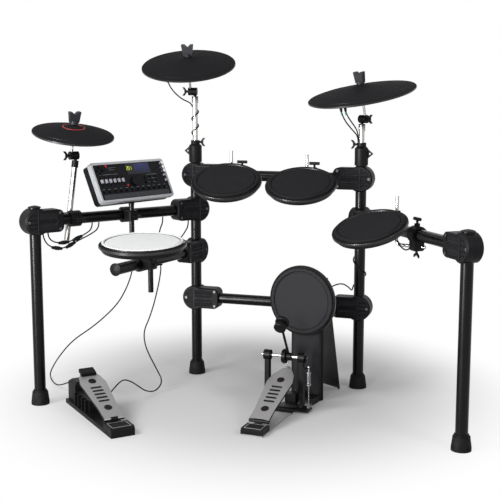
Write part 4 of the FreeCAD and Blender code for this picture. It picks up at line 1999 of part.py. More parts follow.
def make_leads():
    under = -CLAMP_EXTENSION_HEIGHT / 2
    tube_end = module_hinge()
    tube_end.z = LEFT_ARM_HEIGHT - MODULE_TUBE_BELOW
    hat = hat_frame()
    end_jack = hat.multVec(hat_end_jack() + BACK * LEAD_GAP)
    end_out = hat.multVec(hat_end_jack() + BACK * LEAD_OUT)
    lead("cable_leads", "hi-hat lead", strung([tube_end + UP * LEAD_OUT, tube_end] + places(HAT_LEAD_PLACES)
                                              + [end_out, end_jack]))
    side_jack = hat.multVec(hat_side_jack() + ALONG * LEAD_GAP)
    side_out = hat.multVec(hat_side_jack() + ALONG * LEAD_OUT)
    lead("cable_leads", "hi-hat cue lead", strung(hung(arm_point(CUE_LEAD_START, 0, -TUBE_RADIUS))
                                                  + places(CUE_LEAD_PLACES) + [side_out, side_jack]))
    for start, end, table in zip(LOOM_STARTS, LOOM_ENDS, (LOOM_LEAD_PLACES, LOOM_SECOND_PLACES)):
        lead("cable_leads", "loom lead", strung(hung(arm_point(start, 0, under)) + places(table)
                                                + hung(arm_point(end, 0, -TUBE_RADIUS))[::-1]))
    block_end = HIHAT_CLAMP_AT - ROD_CLAMP_WIDTH / 2
    lead("cable_leads", "arch lead", strung(
        [arm_point(ARCH_START, CLAMP_DEPTH / 2 + LEAD_GAP, ARCH_LIFT),
         arm_point(ARCH_START, CLAMP_DEPTH / 2 + LEAD_OUT, ARCH_LIFT)] + places(ARCH_LEAD_PLACES)
        + [arm_point(block_end - LEAD_OUT, ROD_CLAMP_OFFSET, 0),
           arm_point(block_end - LEAD_GAP, ROD_CLAMP_OFFSET, 0)]))
    foot, stem, pin, centre, normal, side, size = pad_place("snare")
    tip = frame_at(centre, normal, side).multVec(jack_tip(size))
    lead("cable_leads", "snare lead", strung(
        hung(LEFT_IN + LEFT_WAY * SNARE_LEAD_START + UP * (LEFT_ARM_HEIGHT + under))
        + places(SNARE_LEAD_PLACES) + [tip - normal * LEAD_OUT, tip - normal * LEAD_GAP]))
    foot, stem, pin, centre, normal, side, size = pad_place("tom3")
    tip = frame_at(centre, normal, side).multVec(jack_tip(size))
    lead("cable_leads", "tom lead", strung(
        [tip - normal * LEAD_GAP, tip - normal * LEAD_OUT] + places(TOM3_LEAD_PLACES)
        + hung(RIGHT_IN + RIGHT_WAY * TOM3_LEAD_END + UP * (RIGHT_ARM_HEIGHT - TUBE_RADIUS))[::-1]))
    make_kick_lead()


def make_kick_lead():
    turn = FreeCAD.Rotation(UP, KICK_JACK_TURN)
    tip = kick_frame().multVec(turn.multVec(jack_tip(PAD_DIAMETER)) - UP * LEAD_GAP)
    out = kick_frame().multVec(turn.multVec(jack_tip(PAD_DIAMETER)) - UP * LEAD_OUT)
    radius = TUBE_RADIUS + LEAD_DIAMETER / 2 + CRASH_WRAP_GAP
    edges, start, start_way, end, end_way = winding(RIGHT_IN + UP * KICK_WRAP_HEIGHT, radius,
                                                    KICK_WRAP_PITCH, KICK_WRAP_TURNS)
    route = strung([tip, out] + places(KICK_LEAD_PLACES) + [start - start_way * KICK_WRAP_LEAD, start])
    lead("cable_leads", "kick lead", route, edges)


def main():
    make_rack_tubes()
    make_feet()
    make_rack_clamps()
    make_tube_fittings()
    clamp_on(hihat_clamp_point(), LEFT_WAY, hihat_clamp_side(), BOOM_DIAMETER / 2, -HIHAT_BOOM_LEAN)
    for name in ("hihat", "crash", "ride"):
        make_cymbal_stand(name)
    for name in ("tom1", "tom2", "tom3", "snare"):
        make_pad(name)
    make_tower()
    make_kick_pad()
    make_kick_pedal()
    make_hat_pedal()
    make_module()
    make_cymbal_leads()
    make_leads()
    write_parts()


def write_parts():
    """Moves the kit so that the origin is on the floor under its middle, and saves each node."""
    box = FreeCAD.BoundBox()
    for name, solids in nodes.items():
        if name not in CABLE_NODES:
            box.add(Part.makeCompound(solids).optimalBoundingBox())
    shift = vec(-box.Center.x, -box.Center.y, -box.ZMin)
    os.makedirs("parts", exist_ok=True)
    for name, solids in nodes.items():
        group = Part.makeCompound(solids) if len(solids) > 1 else solids[0]
        group.translate(shift)
        group.exportStep("parts/%s.step" % name)
    print("moved by %.3f %.3f %.3f" % (shift.x, shift.y, shift.z))
    print("size %.1f x %.1f x %.1f mm, %d nodes" % (box.XLength, box.YLength, box.ZLength, len(nodes)))


main()
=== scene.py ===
"""Electronic drum kit: finishes, cables, small fittings and a plain stage round its frame."""
import json
import math

import bmesh
import bpy
import numpy as np
from bpy.props import FloatProperty, FloatVectorProperty, PointerProperty
from mathutils import Matrix, Vector
from mathutils.bvhtree import BVHTree


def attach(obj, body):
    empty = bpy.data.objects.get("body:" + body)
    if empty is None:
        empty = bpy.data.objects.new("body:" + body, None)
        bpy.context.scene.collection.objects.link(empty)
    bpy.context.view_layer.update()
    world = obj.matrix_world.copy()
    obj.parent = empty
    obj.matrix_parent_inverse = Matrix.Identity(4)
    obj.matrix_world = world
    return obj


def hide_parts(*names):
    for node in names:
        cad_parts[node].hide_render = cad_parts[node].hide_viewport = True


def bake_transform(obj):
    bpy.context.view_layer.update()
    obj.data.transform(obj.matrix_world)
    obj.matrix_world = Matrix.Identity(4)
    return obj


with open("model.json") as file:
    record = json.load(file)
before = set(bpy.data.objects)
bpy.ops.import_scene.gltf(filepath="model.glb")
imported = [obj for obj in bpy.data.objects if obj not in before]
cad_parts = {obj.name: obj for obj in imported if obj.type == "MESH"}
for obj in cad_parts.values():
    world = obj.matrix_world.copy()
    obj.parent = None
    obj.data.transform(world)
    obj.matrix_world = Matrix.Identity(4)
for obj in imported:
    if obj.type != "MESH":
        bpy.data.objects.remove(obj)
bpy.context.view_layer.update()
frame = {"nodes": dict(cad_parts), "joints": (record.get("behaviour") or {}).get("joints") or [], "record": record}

bl_info = {
    "name": "Electronic drum kit",
    "version": (1, 0, 0),
    "blender": (4, 5, 0),
    "location": "View3D > Sidebar > Drum kit",
    "description": "Dresses the frame of an electronic drum kit and sets up its stage",
    "category": "Object",
}

MM = 0.001
UP = Vector((0, 0, 1))
WHITE = (1, 1, 1, 1)
mounts = {mount["name"]: mount for mount in frame["record"]["mounts"]}
joints = {joint["name"]: joint for joint in frame["joints"]}
# The rack's own origin is on the floor under the middle of the lower bar.
# Its left foot stands this far from it, in millimetres.
LEFT_FOOT = (-670.566, -528.265, 0)
RACK_ORIGIN = Vector(mounts["floor_rest"]["pos_m"]) - Vector(LEFT_FOOT) * MM

# Camera in the rack's frame, millimetres and degrees
CAMERA_PLACE = (1044, -3456, 1033)
CAMERA_HEADING = (-0.3138, 0.9496, 0)
CAMERA_PITCH = 8.70
CAMERA_LENS = 73.0
SENSOR = 36.0

# Lamps: place, width and height in metres.
LAMP_TARGET = Vector((0, 0, 0.6))
LAMPS = (
    ("key", (-1.9, -2.3, 2.9), (1.5, 1.5)),
    ("fill", (2.6, -1.6, 1.9), (1, 1)),
    ("front", (-0.3, -3.0, 1.0), (0.9, 0.9)),
    ("back", (0.3, 2.4, 2.6), (1.8, 1.8)),
    ("strip", (-1.75, -2.9, 0.8), (0.35, 1.5)),
)

FLOOR_DROP = 0.0005
FLOOR_SEGMENTS = 96
FLOOR_MIDDLE = (-0.08, 0.2, 0.0)
FLOOR_TURN = (0.0, 0.0, math.radians(18.3))
FLOOR_SPREAD = (1.02, 1.12, 1.0)
FLOOR_FADE = (0.42, 1.0)

# Cable routes in the rack's frame, millimetres
CRASH_ROUTE = (
    (-384.8, -73.7, 1101.6), (-386.2, -66.4, 1081.8), (-376.9, -51.9, 1051.8),
    (-346.4, -34.2, 1018.3), (-319.6, -16.7, 1005.5), (-319.6, 0, 994.5),
)
RIDE_ROUTE = (
    (251.6, -83.9, 991.3), (254.1, -79.5, 970.8), (262.3, -58.7, 944.1), (279.4, -23.8, 913.8),
    (295.9, -3.3, 892), (295.9, -3.3, 870.9),
)
RIDE_SECOND_ROUTE = (
    (267.5, -88.3, 992.2), (269.9, -83.9, 971.8), (280.8, -61.2, 946.3), (292.5, -20.2, 918.6),
    (295.9, 3.3, 892), (295.9, 3.3, 870.9),
)
HIHAT_ROUTE = (
    (-443.3, -264.6, 580), (-443.3, -264.6, 558), (-444.2, -261.8, 524.9), (-446.7, -256.4, 477.8),
    (-451.1, -245.7, 431.7), (-467.3, -236.3, 388.2), (-488.9, -228.7, 346.6),
    (-514.6, -222.2, 307.2), (-545.9, -217.8, 271.8), (-581, -214.9, 239.9),
    (-617.5, -212.3, 209.7), (-655.7, -209.4, 181.5), (-695.2, -206.6, 155.3),
    (-731.6, -204.2, 125), (-763.6, -201.6, 90), (-792.5, -202.6, 52.4), (-805.7, -223.4, 15),
    (-781.1, -262.1, 5.6), (-750.9, -298.8, 4.1), (-719, -333.8, 7.1), (-686.5, -366.7, 17.7),
    (-653.3, -397.2, 32.5), (-617.6, -423.5, 49.7), (-592, -440.6, 62), (-576.5, -455, 62),
)
CUE_ROUTE = (
    (-389.1, -118.7, 600.1), (-389.1, -118.7, 579), (-387.8, -146.1, 562.5),
    (-386.2, -171.1, 521.7), (-379.3, -187, 477.1), (-362.6, -198.5, 434.2),
    (-365.1, -209.9, 387.8), (-372.1, -221.2, 341.8), (-380.5, -232.6, 296), (-392.4, -245, 251.3),
    (-408, -258, 208), (-400.6, -265.4, 161.8), (-379.6, -267.3, 118.8), (-355, -268.4, 77.7),
    (-330.3, -271.7, 37), (-345.6, -299.7, 7.5), (-362.9, -342.6, 17.4), (-373.5, -380.5, 44.7),
    (-383.8, -418.4, 72.1), (-396.8, -459.3, 90.6), (-415.8, -492.5, 62.9), (-429.5, -512.8, 40),
    (-443.9, -528.2, 40),
)
LOOM_ROUTE = (
    (-654.7, -505.2, 581.1), (-654.7, -505.2, 560), (-641.9, -485.4, 529.8),
    (-612.2, -443.4, 519.7), (-583.7, -402.5, 542.2), (-555.1, -359.4, 560.4),
    (-535.8, -332.1, 579), (-535.8, -332.1, 600.1),
)
LOOM_SECOND_ROUTE = (
    (-644.5, -490.4, 581.1), (-644.5, -490.4, 560), (-628.1, -463.7, 540.3), (-597, -421.6, 542.4),
    (-568.7, -380.7, 561.3), (-550.5, -353.6, 579), (-550.5, -353.6, 600.1),
)
ARCH_ROUTE = (
    (-670.6, -477.3, 636), (-688, -465.3, 636), (-686.1, -440.4, 654.7), (-658.8, -427.2, 646.3),
    (-642.4, -420.2, 620), (-630.5, -402.8, 620),
)
SNARE_ROUTE = (
    (-326.8, -28, 581.1), (-326.8, -28, 560), (-326.2, -57, 543.3), (-320.6, -103.2, 531.8),
    (-314.5, -150.3, 524.7), (-315.2, -197.4, 515.3), (-319.1, -244.4, 506.1),
    (-321.2, -292.1, 501.1), (-322.1, -340.1, 501), (-320, -386.8, 511.3), (-317.3, -417.3, 525.1),
    (-316.8, -419.1, 546.1),
)
TOM_ROUTE = (
    (461.7, -344.9, 637.5), (464.8, -338.1, 617.8), (487.5, -327.6, 588), (517.8, -310.7, 544.9),
    (537.5, -292.3, 561), (537.5, -292.3, 582.1),
)
KICK_ROUTE = (
    (240.9, -220.3, 378), (243.8, -199.4, 378), (244.3, -159.8, 391.4), (269.9, -107.4, 395),
    (282.2, -54.3, 371.2), (285.4, -17.9, 351.1), (285.4, 0, 364),
)
WINDING_POINTS = 12
LEFT_POST = (-307.5, 0)
RIGHT_POST = (307.5, 0)
CRASH_WINDING = {"post": LEFT_POST, "radius": 12.1, "foot": 994.5, "pitch": -50, "turns": 2}
KICK_WINDING = {"post": RIGHT_POST, "radius": 22.1, "foot": 364, "pitch": 100, "turns": 1.25}
# Free end of the crash cable below its winding: direction and length
TAIL_WAY = (0, 0.84, -0.54)
TAIL_LENGTH = 20

# Turned parts of the cables, as radius and height pairs. A plug has a collar at the jack, ribs from
# a share of its length onwards that get thinner, and a coloured mark behind it.
CABLE_SEGMENTS = 20
PLUG_COLLAR = ((2.4, -0.6), (5.0, -0.6), (5.2, 0.4))
PLUG_END = (2.9, 2.4)
PLUG_RIBS = 5
RIB_START = 0.35
RIB_SHARE = 0.6
RIB_RADIUS = 4.9
RIB_TAPER = 1.5
RIB_PROFILE = ((0, 0), (0, 1.2), (-0.5, 1.3), (-0.5, 1.9))
MARK_GAP = 0.3
MARK_PROFILE = ((2.4, 0), (2.75, 0), (2.9, 0.8), (2.9, 9), (2.7, 9.8), (2.4, 9.8))
# Couplers on four runs of the looms under the left arm, and half of a coupler's length
COUPLED_RUNS = ((LOOM_ROUTE, 2), (LOOM_ROUTE, 3), (LOOM_SECOND_ROUTE, 2), (LOOM_SECOND_ROUTE, 3))
COUPLER_HALF = 19
COUPLER_PROFILE = ((2.6, 0), (4.4, 0), (5.6, 4), (5.6, 11), (7.0, 12),
                   (7.0, 26), (5.6, 27), (5.6, 34), (4.4, 38), (2.6, 38))

# Clamps: their post, the point that their tube heads for, and their height
LEFT_LEG = (-670.6, -528.3)
RIGHT_LEG = (736.1, -544.6)
SNARE_ARM_END = (-401.1, -486.1)
CLAMPS = (
    (LEFT_LEG, LEFT_POST, 620), (LEFT_POST, LEFT_LEG, 620), (LEFT_POST, RIGHT_POST, 746),
    (LEFT_POST, SNARE_ARM_END, 467), (LEFT_POST, RIGHT_POST, 291), (RIGHT_POST, LEFT_POST, 746),
    (RIGHT_POST, RIGHT_LEG, 602), (RIGHT_POST, LEFT_POST, 291), (RIGHT_LEG, RIGHT_POST, 602),
)
# Distance of a clamp's face and of its sunk panels from the post's axis
CLAMP_FACE = 28
PANEL_DEPTH = 26
PANEL_SLACK = 0.3
# Ridges on a clamp's face: the half ring, the tongue along the tube, and the fine ribs of the
# half-round panel, which stop short of the bolt
RIDGE_HALF = 1.1
RIDGE_CREST = 0.55
RIDGE_SINK = 0.3
RING_RIDGE = 38.6
RING_RISE = 0.8
TONGUE_FOOT = 4
TONGUE_END = 58
TONGUE_HALF = 13
TONGUE_RISE = 0.6
FINE_RIBS = (-31.2, -26.4, -16.8, -12, -2.4, 2.4, 12, 16.8, 26.4, 31.2)
FINE_HALF = 0.8
FINE_DROP = 0.2
FINE_FOOT = -4
HALF_ROUND = 35.5
BOLT_EDGE = -26.5
BOLT_HALF = 7
ARC_STEPS = 18

# Cymbal stands: the black socket below the tilt axis, and the radius of the tilter's head
SOCKET_REACH = 31
TILTER_RADIUS = 21
# Red ring on the hi-hat pad
RING_RADIUS = 36.5
RING_STEPS = 72
RING_PROFILE = ((-1.1, -0.6), (1.1, -0.6), (1.1, 0.4), (0.6, 0.8), (-0.6, 0.8), (-1.1, 0.4))
# Share of a head's radius that its playing surface takes, and the slope of a face that is a side
PAD_RING_SHARE = 0.93
SNARE_RING_SHARE = 0.94
SIDE_SLOPE = 0.45
# Slope of a face that belongs to the kick tower's front, which is painted paler as lit
FRONT_SLOPE = 0.8

# Flat plates: radius of the corners, underside and top, bevel of the upper edge, steps of a corner
GRIP_TILE = {"radius": 2.6, "bevel": 0.5}
HEEL_EDGE_TILE = {"radius": 0.4, "span": (-0.2, 0.5), "bevel": 0.2, "steps": 2}
HEEL_RIB_TILE = {"radius": 1, "span": (-0.95, 0.3), "bevel": 0.4, "steps": 3}
SCREEN_TILE = {"radius": 1.5, "span": (-0.5, 0.35), "bevel": 0.15}
DIGIT_TILE = {"radius": 0.4, "span": (-0.2, 0.45), "bevel": 0.1, "steps": 3}
LAMP_TILE = {"radius": 1, "span": (-0.4, 1.2), "bevel": 0.4}
STRIP_TILE = {"radius": 2, "span": (0.6, 1.5), "bevel": 0.3}
KEY_MARK_TILE = {"radius": 0.4, "span": (-0.1, 0.25), "bevel": 0.05, "steps": 2}
LINE_TILE = {"radius": 0.3, "span": (-0.1, 0.25), "bevel": 0.05, "steps": 2}

# Footboards: rise above the floor in degrees, length, and the grip bars and discs along the board
KICK_BOARD_RISE = math.degrees(math.atan2(128 - 29, 26 + 230))
HAT_BOARD_RISE = math.degrees(math.atan2(124 - 36, 330 - 76))
KICK_BOARD_LENGTH = 274.5
HAT_BOARD_LENGTH = 268.8
BOARD_TOP = 7.0
BOARD_SLACK = 0.3
BOARD_SLOPE = 0.5
GRIP_BAR = (36, 6)
GRIP_BAR_SHARES = (0.34, 0.41, 0.48, 0.55, 0.62)
GRIP_DISC = 12.4
GRIP_DISC_SHARES = (0.2, 0.76)
GRIP_DISC_SEGMENTS = 40
GRIP_SINK = 1.1
# Heel rests: where they start behind the hinge, the height of the plate that they stand on, and
# the inlay in their top with its edge and its mat
LEVEL_SLOPE = 0.98
HEEL_START = -8
KICK_PLATE_TOP = 4.5
HAT_PLATE_TOP = 14.5
INLAY_SLOPE = 0.99
INLAY_START = -12
INLAY_LOWEST = 15
INLAY_DEPTH = (0.5, 1.5)
HEEL_EDGE = 2.2
HEEL_RIBS = 6
RIB_GAP = 1.4
MAT_MARGIN = 1
# Kick pedal: the hinge's barrel, the frame's start on the base, the axle's rod, the beater's shaft
# and the slope of its felt face
HINGE_BARREL = 9
FRAME_START = 200
AXLE_ROD = 5.6
BEATER_SHAFT = 108
FELT_SLOPE = 0.6

# Sound module: the panel's middle from the tilt axis, then places from the panel's middle
PANEL_BEHIND = 53.0
PANEL_BELOW = -48.0
PANEL_LEFT = 17.0
KNOBS = 3
SIDE_KEYS = 145
SCREEN_SIZE, SCREEN_SPOT = (72, 32), (58, 42.5)
STRIP_SIZE, STRIP_SPOT = (314, 17.5), (0, -52.25)
PANEL_LAMP_SIZE, PANEL_LAMP_SPOTS = (4.5, 6.5), ((-106, 57), (-32, -16))
# Digits: width, height and bar, and which of the seven bars are lit: clockwise from the top, then
# the middle one
LED_START = (-11, 38)
LED_DIGIT = (6, 12, 1.5)
LED_PITCH = 8.4
LED_GAP = 0.2
LED_DIGITS = ("1101101", "1111110", "0110000")
KEY_MARKS = 12
KEY_MARK_SIZE = (11, 1.1)
KEY_MARK_START = (-148, -24.5)
KEY_MARK_PITCH = 26.5
# Plain lines printed on the panel: place and length
LINES = ((-104, 27, 84), (-84, 50, 40), (-84, 43, 26), (96, 16, 52), (96, 2, 44), (96, -12, 48))
LINE_WIDTH = 0.9


def linear(code):
    """Linear colour of an sRGB hex value."""
    channels = [int(code[index:index + 2], 16) / 255 for index in (1, 3, 5)]
    return tuple(c / 12.92 if c <= 0.04045 else ((c + 0.055) / 1.055) ** 2.4 for c in channels)


def colour(title, note, code):
    return FloatVectorProperty(name=title, description=note, subtype="COLOR", min=0, max=1,
                               default=linear(code))


def length(title, note, size):
    return FloatProperty(name=title, description=note, unit="LENGTH", min=0, default=size * MM)


def power(title, note, watts):
    return FloatProperty(name=title, description=note, subtype="POWER", min=0, default=watts)


class KitColours(bpy.types.PropertyGroup):
    enamel: colour("Rack tube", "Gloss enamel of the steel tubes", "#070606")
    moulding: colour("Mouldings", "Black plastic of the clamps, feet and trays", "#121214")
    rubber: colour("Playing rubber", "Rubber of the pads and cymbals", "#272729")
    snare: colour("Snare head", "White rubber of the snare pad", "#eeefef")
    alloy: colour("Footboards", "Painted alloy of the footboards", "#9a9899")
    panel: colour("Module panel", "Painted panel of the sound module", "#0c0d11")
    trim: colour("Module trim", "Silver ring round the panel", "#b4b6b9")
    screen: colour("Screen", "Lit screen of the sound module", "#3d4478")
    digits: colour("Digits", "Lit digits of the sound module", "#c7d64a")


class KitSizes(bpy.types.PropertyGroup):
    cable: length("Cable", "Diameter of the cables", 4.6)
    plug: length("Plug", "Length of the plugs' rubber sleeves", 17)
    grip: length("Grip height", "How far the grips stand out of the footboards", 0.9)


class KitStage(bpy.types.PropertyGroup):
    floor: length("Floor", "Radius of the floor", 9000)
    key: power("Key light", "Power of the large lamp", 72.0)
    fill: power("Fill light", "Power of the side lamp", 17.0)
    front: power("Front light", "Power of the low lamp", 34.0)
    back: power("Back light", "Power of the lamp behind", 8.0)
    strip: power("Strip light", "Power of the highlight strip", 260.0)
    sky: FloatProperty(name="Sky", description="Strength of the even light", min=0, default=0.42)


# Materials

def add_node(tree, kind, inputs=None, **settings):
    """Adds a node; each input takes a value or another node's output."""
    node = tree.nodes.new(kind)
    for key, value in settings.items():
        setattr(node, key, value)
    for key, value in (inputs or {}).items():
        if isinstance(value, bpy.types.NodeSocket):
            tree.links.new(value, node.inputs[key])
        else:
            node.inputs[key].default_value = value
    return node


def emptied(block):
    """Node tree of a material or world, with no nodes in it."""
    block.use_nodes = True
    block.node_tree.nodes.clear()
    return block.node_tree


def shade(tone, factor):
    return tuple(channel * factor for channel in tone[:3]) + (1,)


def surface(name, tone, mottle, rough, grain, depth, spread=0.25, cells=False, shine=0.5,
            metal=0.0, edge=WHITE):
    """Material whose colour and gloss vary over mottle mm, with a relief of grain and depth mm."""
    tree = emptied(bpy.data.materials.new(name))
    place = add_node(tree, "ShaderNodeTexCoord").outputs["Object"]
    cloud = add_node(tree, "ShaderNodeTexNoise", {
        "Vector": place, "Scale": 1 / (mottle * MM), "Detail": 5.0}).outputs["Fac"]
    # Sockets 6 and 7 are the two colours of a colour mix, and 2 is its result.
    mix = add_node(tree, "ShaderNodeMix", {
        0: cloud, 6: shade(tone, 1 - spread), 7: shade(tone, 1 + spread)}, data_type="RGBA")
    gloss = add_node(tree, "ShaderNodeMapRange", {
        "Value": cloud, "From Min": 0.3, "From Max": 0.7, "To Min": rough[0], "To Max": rough[1]})
    fine = {"Vector": place, "Scale": 1 / (grain * MM)}
    if cells:
        height = add_node(tree, "ShaderNodeTexVoronoi", fine).outputs["Distance"]
    else:
        height = add_node(tree, "ShaderNodeTexNoise", {**fine, "Detail": 3.0}).outputs["Fac"]
    bump = add_node(tree, "ShaderNodeBump", {
        "Height": height, "Distance": depth * MM, "Strength": 1.0})
    shader = add_node(tree, "ShaderNodeBsdfPrincipled", {
        "Base Color": mix.outputs[2], "Roughness": gloss.outputs["Result"],
        "Normal": bump.outputs["Normal"], "Metallic": metal, "Specular IOR Level": shine,
        "Specular Tint": edge})
    add_node(tree, "ShaderNodeOutputMaterial", {"Surface": shader.outputs["BSDF"]})


def lit(name, tone, dim, pitch, strength):
    """Lit display: brighter towards its top, uneven over pitch mm, under clear plastic."""
    tree = emptied(bpy.data.materials.new(name))
    place = add_node(tree, "ShaderNodeTexCoord").outputs
    cloud = add_node(tree, "ShaderNodeTexNoise", {
        "Vector": place["Object"], "Scale": 1 / (pitch * MM), "Detail": 2.0})
    level = add_node(tree, "ShaderNodeSeparateXYZ", {"Vector": place["Generated"]}).outputs["Z"]
    share = add_node(tree, "ShaderNodeMath", {0: cloud.outputs["Fac"], 1: level},
                     operation="MULTIPLY")
    glow = add_node(tree, "ShaderNodeMix", {
        0: share.outputs[0], 6: shade(tone, dim), 7: shade(tone, 1.6)}, data_type="RGBA")
    shader = add_node(tree, "ShaderNodeBsdfPrincipled", {
        "Base Color": shade(tone, 0.2), "Roughness": 0.2, "Specular IOR Level": 0.2,
        "Emission Color": glow.outputs[2], "Emission Strength": strength})
    add_node(tree, "ShaderNodeOutputMaterial", {"Surface": shader.outputs["BSDF"]})


def finishes():
    tones = bpy.context.scene.drum_colours
    made = bpy.data.materials
    if "enamelled_steel" in made:
        return made
    # Gloss enamel over drawn steel tube: near black, narrow long highlights, a faint ripple.
    surface("enamelled_steel", tones.enamel, 60, (0.25, 0.31), 2.2, 0.003, shine=0.17)
    # Injection-moulded ABS: black with a fine spark-eroded grain, drawn at 0.9 mm so that it shows.
    surface("moulded_abs", tones.moulding, 30, (0.42, 0.54), 0.9, 0.05, cells=True, shine=0.1)
    # Deeply eroded ABS in the clamps' sunk panels: greyer than the face, grain drawn at 1.4 mm.
    surface("eroded_abs", shade(tones.moulding, 3), 25, (0.6, 0.7), 1.4, 0.12, cells=True,
            shine=0.05)
    # Raised ridges of the same mouldings: smoother, and paler as a painted highlight where they catch the light.
    surface("rubbed_abs", shade(tones.moulding, 6), 25, (0.4, 0.5), 0.9, 0.03, cells=True,
            shine=0.1)
    # Moulded rubber of feet, grips and plugs: dull black, slightly dusty.
    surface("moulded_rubber", tones.moulding, 18, (0.62, 0.78), 1.1, 0.06, shine=0.12)
    # Soft-touch elastomer of the cymbal nuts: slate black, with the sheen of a fine matt mould.
    surface("soft_elastomer", linear("#232429"), 20, (0.5, 0.6), 1.0, 0.04, shine=0.3)
    # Calendered natural rubber playing surface: charcoal, matt, with a soft stipple of 1.2 mm.
    surface("playing_rubber", tones.rubber, 45, (0.72, 0.82), 1.2, 0.07, spread=0.18, cells=True,
            shine=0.02)
    # The same compound moulded over the cymbal plates: a shade blacker as painted shade, with a sparser stipple.
    surface("cymbal_skin", shade(tones.rubber, 0.78), 60, (0.72, 0.82), 1.5, 0.07, spread=0.18,
            cells=True, shine=0.02)
    # Sheeted neoprene of the kick pad: paler, with a closer stipple, drawn at 1 mm.
    surface("sheeted_neoprene", shade(tones.rubber, 1.9), 40, (0.68, 0.78), 1.0, 0.06, spread=0.14,
            cells=True, shine=0.06)
    # Moulded rubber flange of the pads: blacker than the playing surface, dull and smooth.
    surface("flange_rubber", shade(tones.rubber, 0.45), 50, (0.6, 0.7), 1.6, 0.03, spread=0.15,
            shine=0.06)
    # Rubber side of the pads: the same compound, shinier where the mould was polished.
    surface("rim_rubber", shade(tones.rubber, 0.4), 50, (0.3, 0.4), 1.6, 0.03, spread=0.15,
            shine=0.4)
    # White pigmented rubber: clean, matt, very fine stipple drawn at 1.2 mm.
    surface("white_rubber", tones.snare, 70, (0.55, 0.66), 1.2, 0.05, spread=0.02, cells=True)
    # Bright chrome plate over steel: mirror with light handling haze, dark where it turns away.
    surface("chrome_plate", linear("#b4b1af"), 30, (0.2, 0.26), 8, 0.002, spread=0.03, metal=1.0,
            edge=(*linear("#2c2b2b"), 1))
    # Turned aluminium of the module's knobs: pale and bright, with lathe marks drawn at 0.6 mm.
    surface("turned_aluminium", linear("#e4e4e6"), 12, (0.2, 0.3), 0.6, 0.004, spread=0.04,
            metal=1.0)
    # Zinc-plated steel of the chain and the spring: bright grey, dulled by barrel plating.
    surface("zinc_plate", linear("#8c8c8d"), 4, (0.34, 0.46), 0.8, 0.01, spread=0.1, metal=1.0)
    # Phosphated steel of the clamps' screws: grey and dull, with oil in its pores.
    surface("phosphated_steel", linear("#5f5f60"), 4, (0.5, 0.6), 0.8, 0.02, spread=0.1, metal=1.0)
    # Silver paint over die-cast alloy: warm grey with a fine metal-flake sparkle of 0.8 mm.
    surface("painted_alloy", tones.alloy, 9, (0.36, 0.46), 0.8, 0.03, spread=0.08, cells=True,
            metal=0.35)
    # Semi-gloss powder coat over folded sheet steel: black with a fine orange peel.
    surface("powder_coat", shade(tones.moulding, 0.45), 40, (0.36, 0.48), 1.4, 0.05, shine=0.1)
    # The same coat on the tower's wide front, paler as painted light on the faces that look to the front.
    surface("rubbed_coat", shade(tones.moulding, 2.8), 55, (0.4, 0.52), 1.4, 0.05, shine=0.08)
    # Extruded PVC cable jacket: black, smooth, slightly greasy shine.
    surface("pvc_jacket", linear("#111112"), 12, (0.38, 0.5), 1.5, 0.02, shine=0.12)
    # Screen-printed satin paint on the module's panel: blue-black and even.
    surface("panel_paint", tones.panel, 24, (0.3, 0.4), 1.0, 0.015, spread=0.12, shine=0.1)
    # Silver-painted ABS ring round the panel: pale, with a soft metallic sheen.
    surface("silver_paint", tones.trim, 16, (0.28, 0.36), 0.7, 0.02, spread=0.05, metal=0.55)
    # Brushed aluminium strip: dark anodised, its brushing drawn as an even grain of 0.5 mm.
    surface("brushed_strip", linear("#3a3b3f"), 14, (0.32, 0.44), 0.5, 0.03, metal=0.7)
    # Light grey ABS of caps and small keys: moulded satin.
    surface("pale_abs", linear("#a9a7b2"), 10, (0.36, 0.46), 0.8, 0.02, spread=0.06)
    # Polished acrylic window over the displays: deep blue-black, with clear reflections.
    surface("window_acrylic", linear("#0c0d14"), 30, (0.05, 0.09), 8, 0.002, spread=0.1, shine=0.3)
    # Screen-printed ink of the panel's plain marks: pale and matt.
    surface("pale_ink", linear("#8d9097"), 6, (0.5, 0.6), 0.8, 0.01, spread=0.06)
    # Pressed wool felt of the beater's striking face: fibres drawn at 1.5 mm so that they show.
    surface("wool_felt", linear("#4c4946"), 5, (0.85, 0.95), 1.5, 0.25, spread=0.12, shine=0.2)
    # Heat-shrink polyolefin sleeve that marks a cable's end: bright and smooth.
    for name, code in (("red_sleeve", "#c2201c"), ("teal_sleeve", "#1f8f86"),
                       ("blue_sleeve", "#2b4fb8")):
        surface(name, linear(code), 8, (0.4, 0.5), 1.2, 0.02, spread=0.1)
    # Back-lit liquid crystal, light-emitting digits and small lamps behind clear plastic.
    lit("screen_glow", tones.screen, 0.15, 26, 0.5)
    lit("digit_glow", tones.digits, 0.8, 6, 1.0)
    lit("lamp_glow", linear("#e2231a"), 0.8, 6, 0.9)
    return made


# Meshes

def dress(node, *names, rule=None):
    """Gives a frame node its materials; the rule picks one by a face's middle and normal."""
    mesh = frame["nodes"][node].data
    mesh.materials.clear()
    for name in names:
        mesh.materials.append(finishes()[name])
    picks = [rule(face.center, face.normal) if rule else 0 for face in mesh.polygons]
    mesh.polygons.foreach_set("material_index", picks)


def from_bmesh(name, made, smooth):
    bmesh.ops.recalc_face_normals(made, faces=made.faces)
    mesh = bpy.data.meshes.new(name)
    made.to_mesh(mesh)
    made.free()
    mesh.polygons.foreach_set("use_smooth", [smooth] * len(mesh.polygons))
    return mesh


def new_piece(name, made, body, finish, smooth=False):
    """Object of a finished mesh that rides on a body."""
    mesh = from_bmesh(name, made, smooth)
    mesh.materials.append(finishes()[finish])
    piece = bpy.data.objects.new(name, mesh)
    bpy.context.scene.collection.objects.link(piece)
    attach(piece, body)


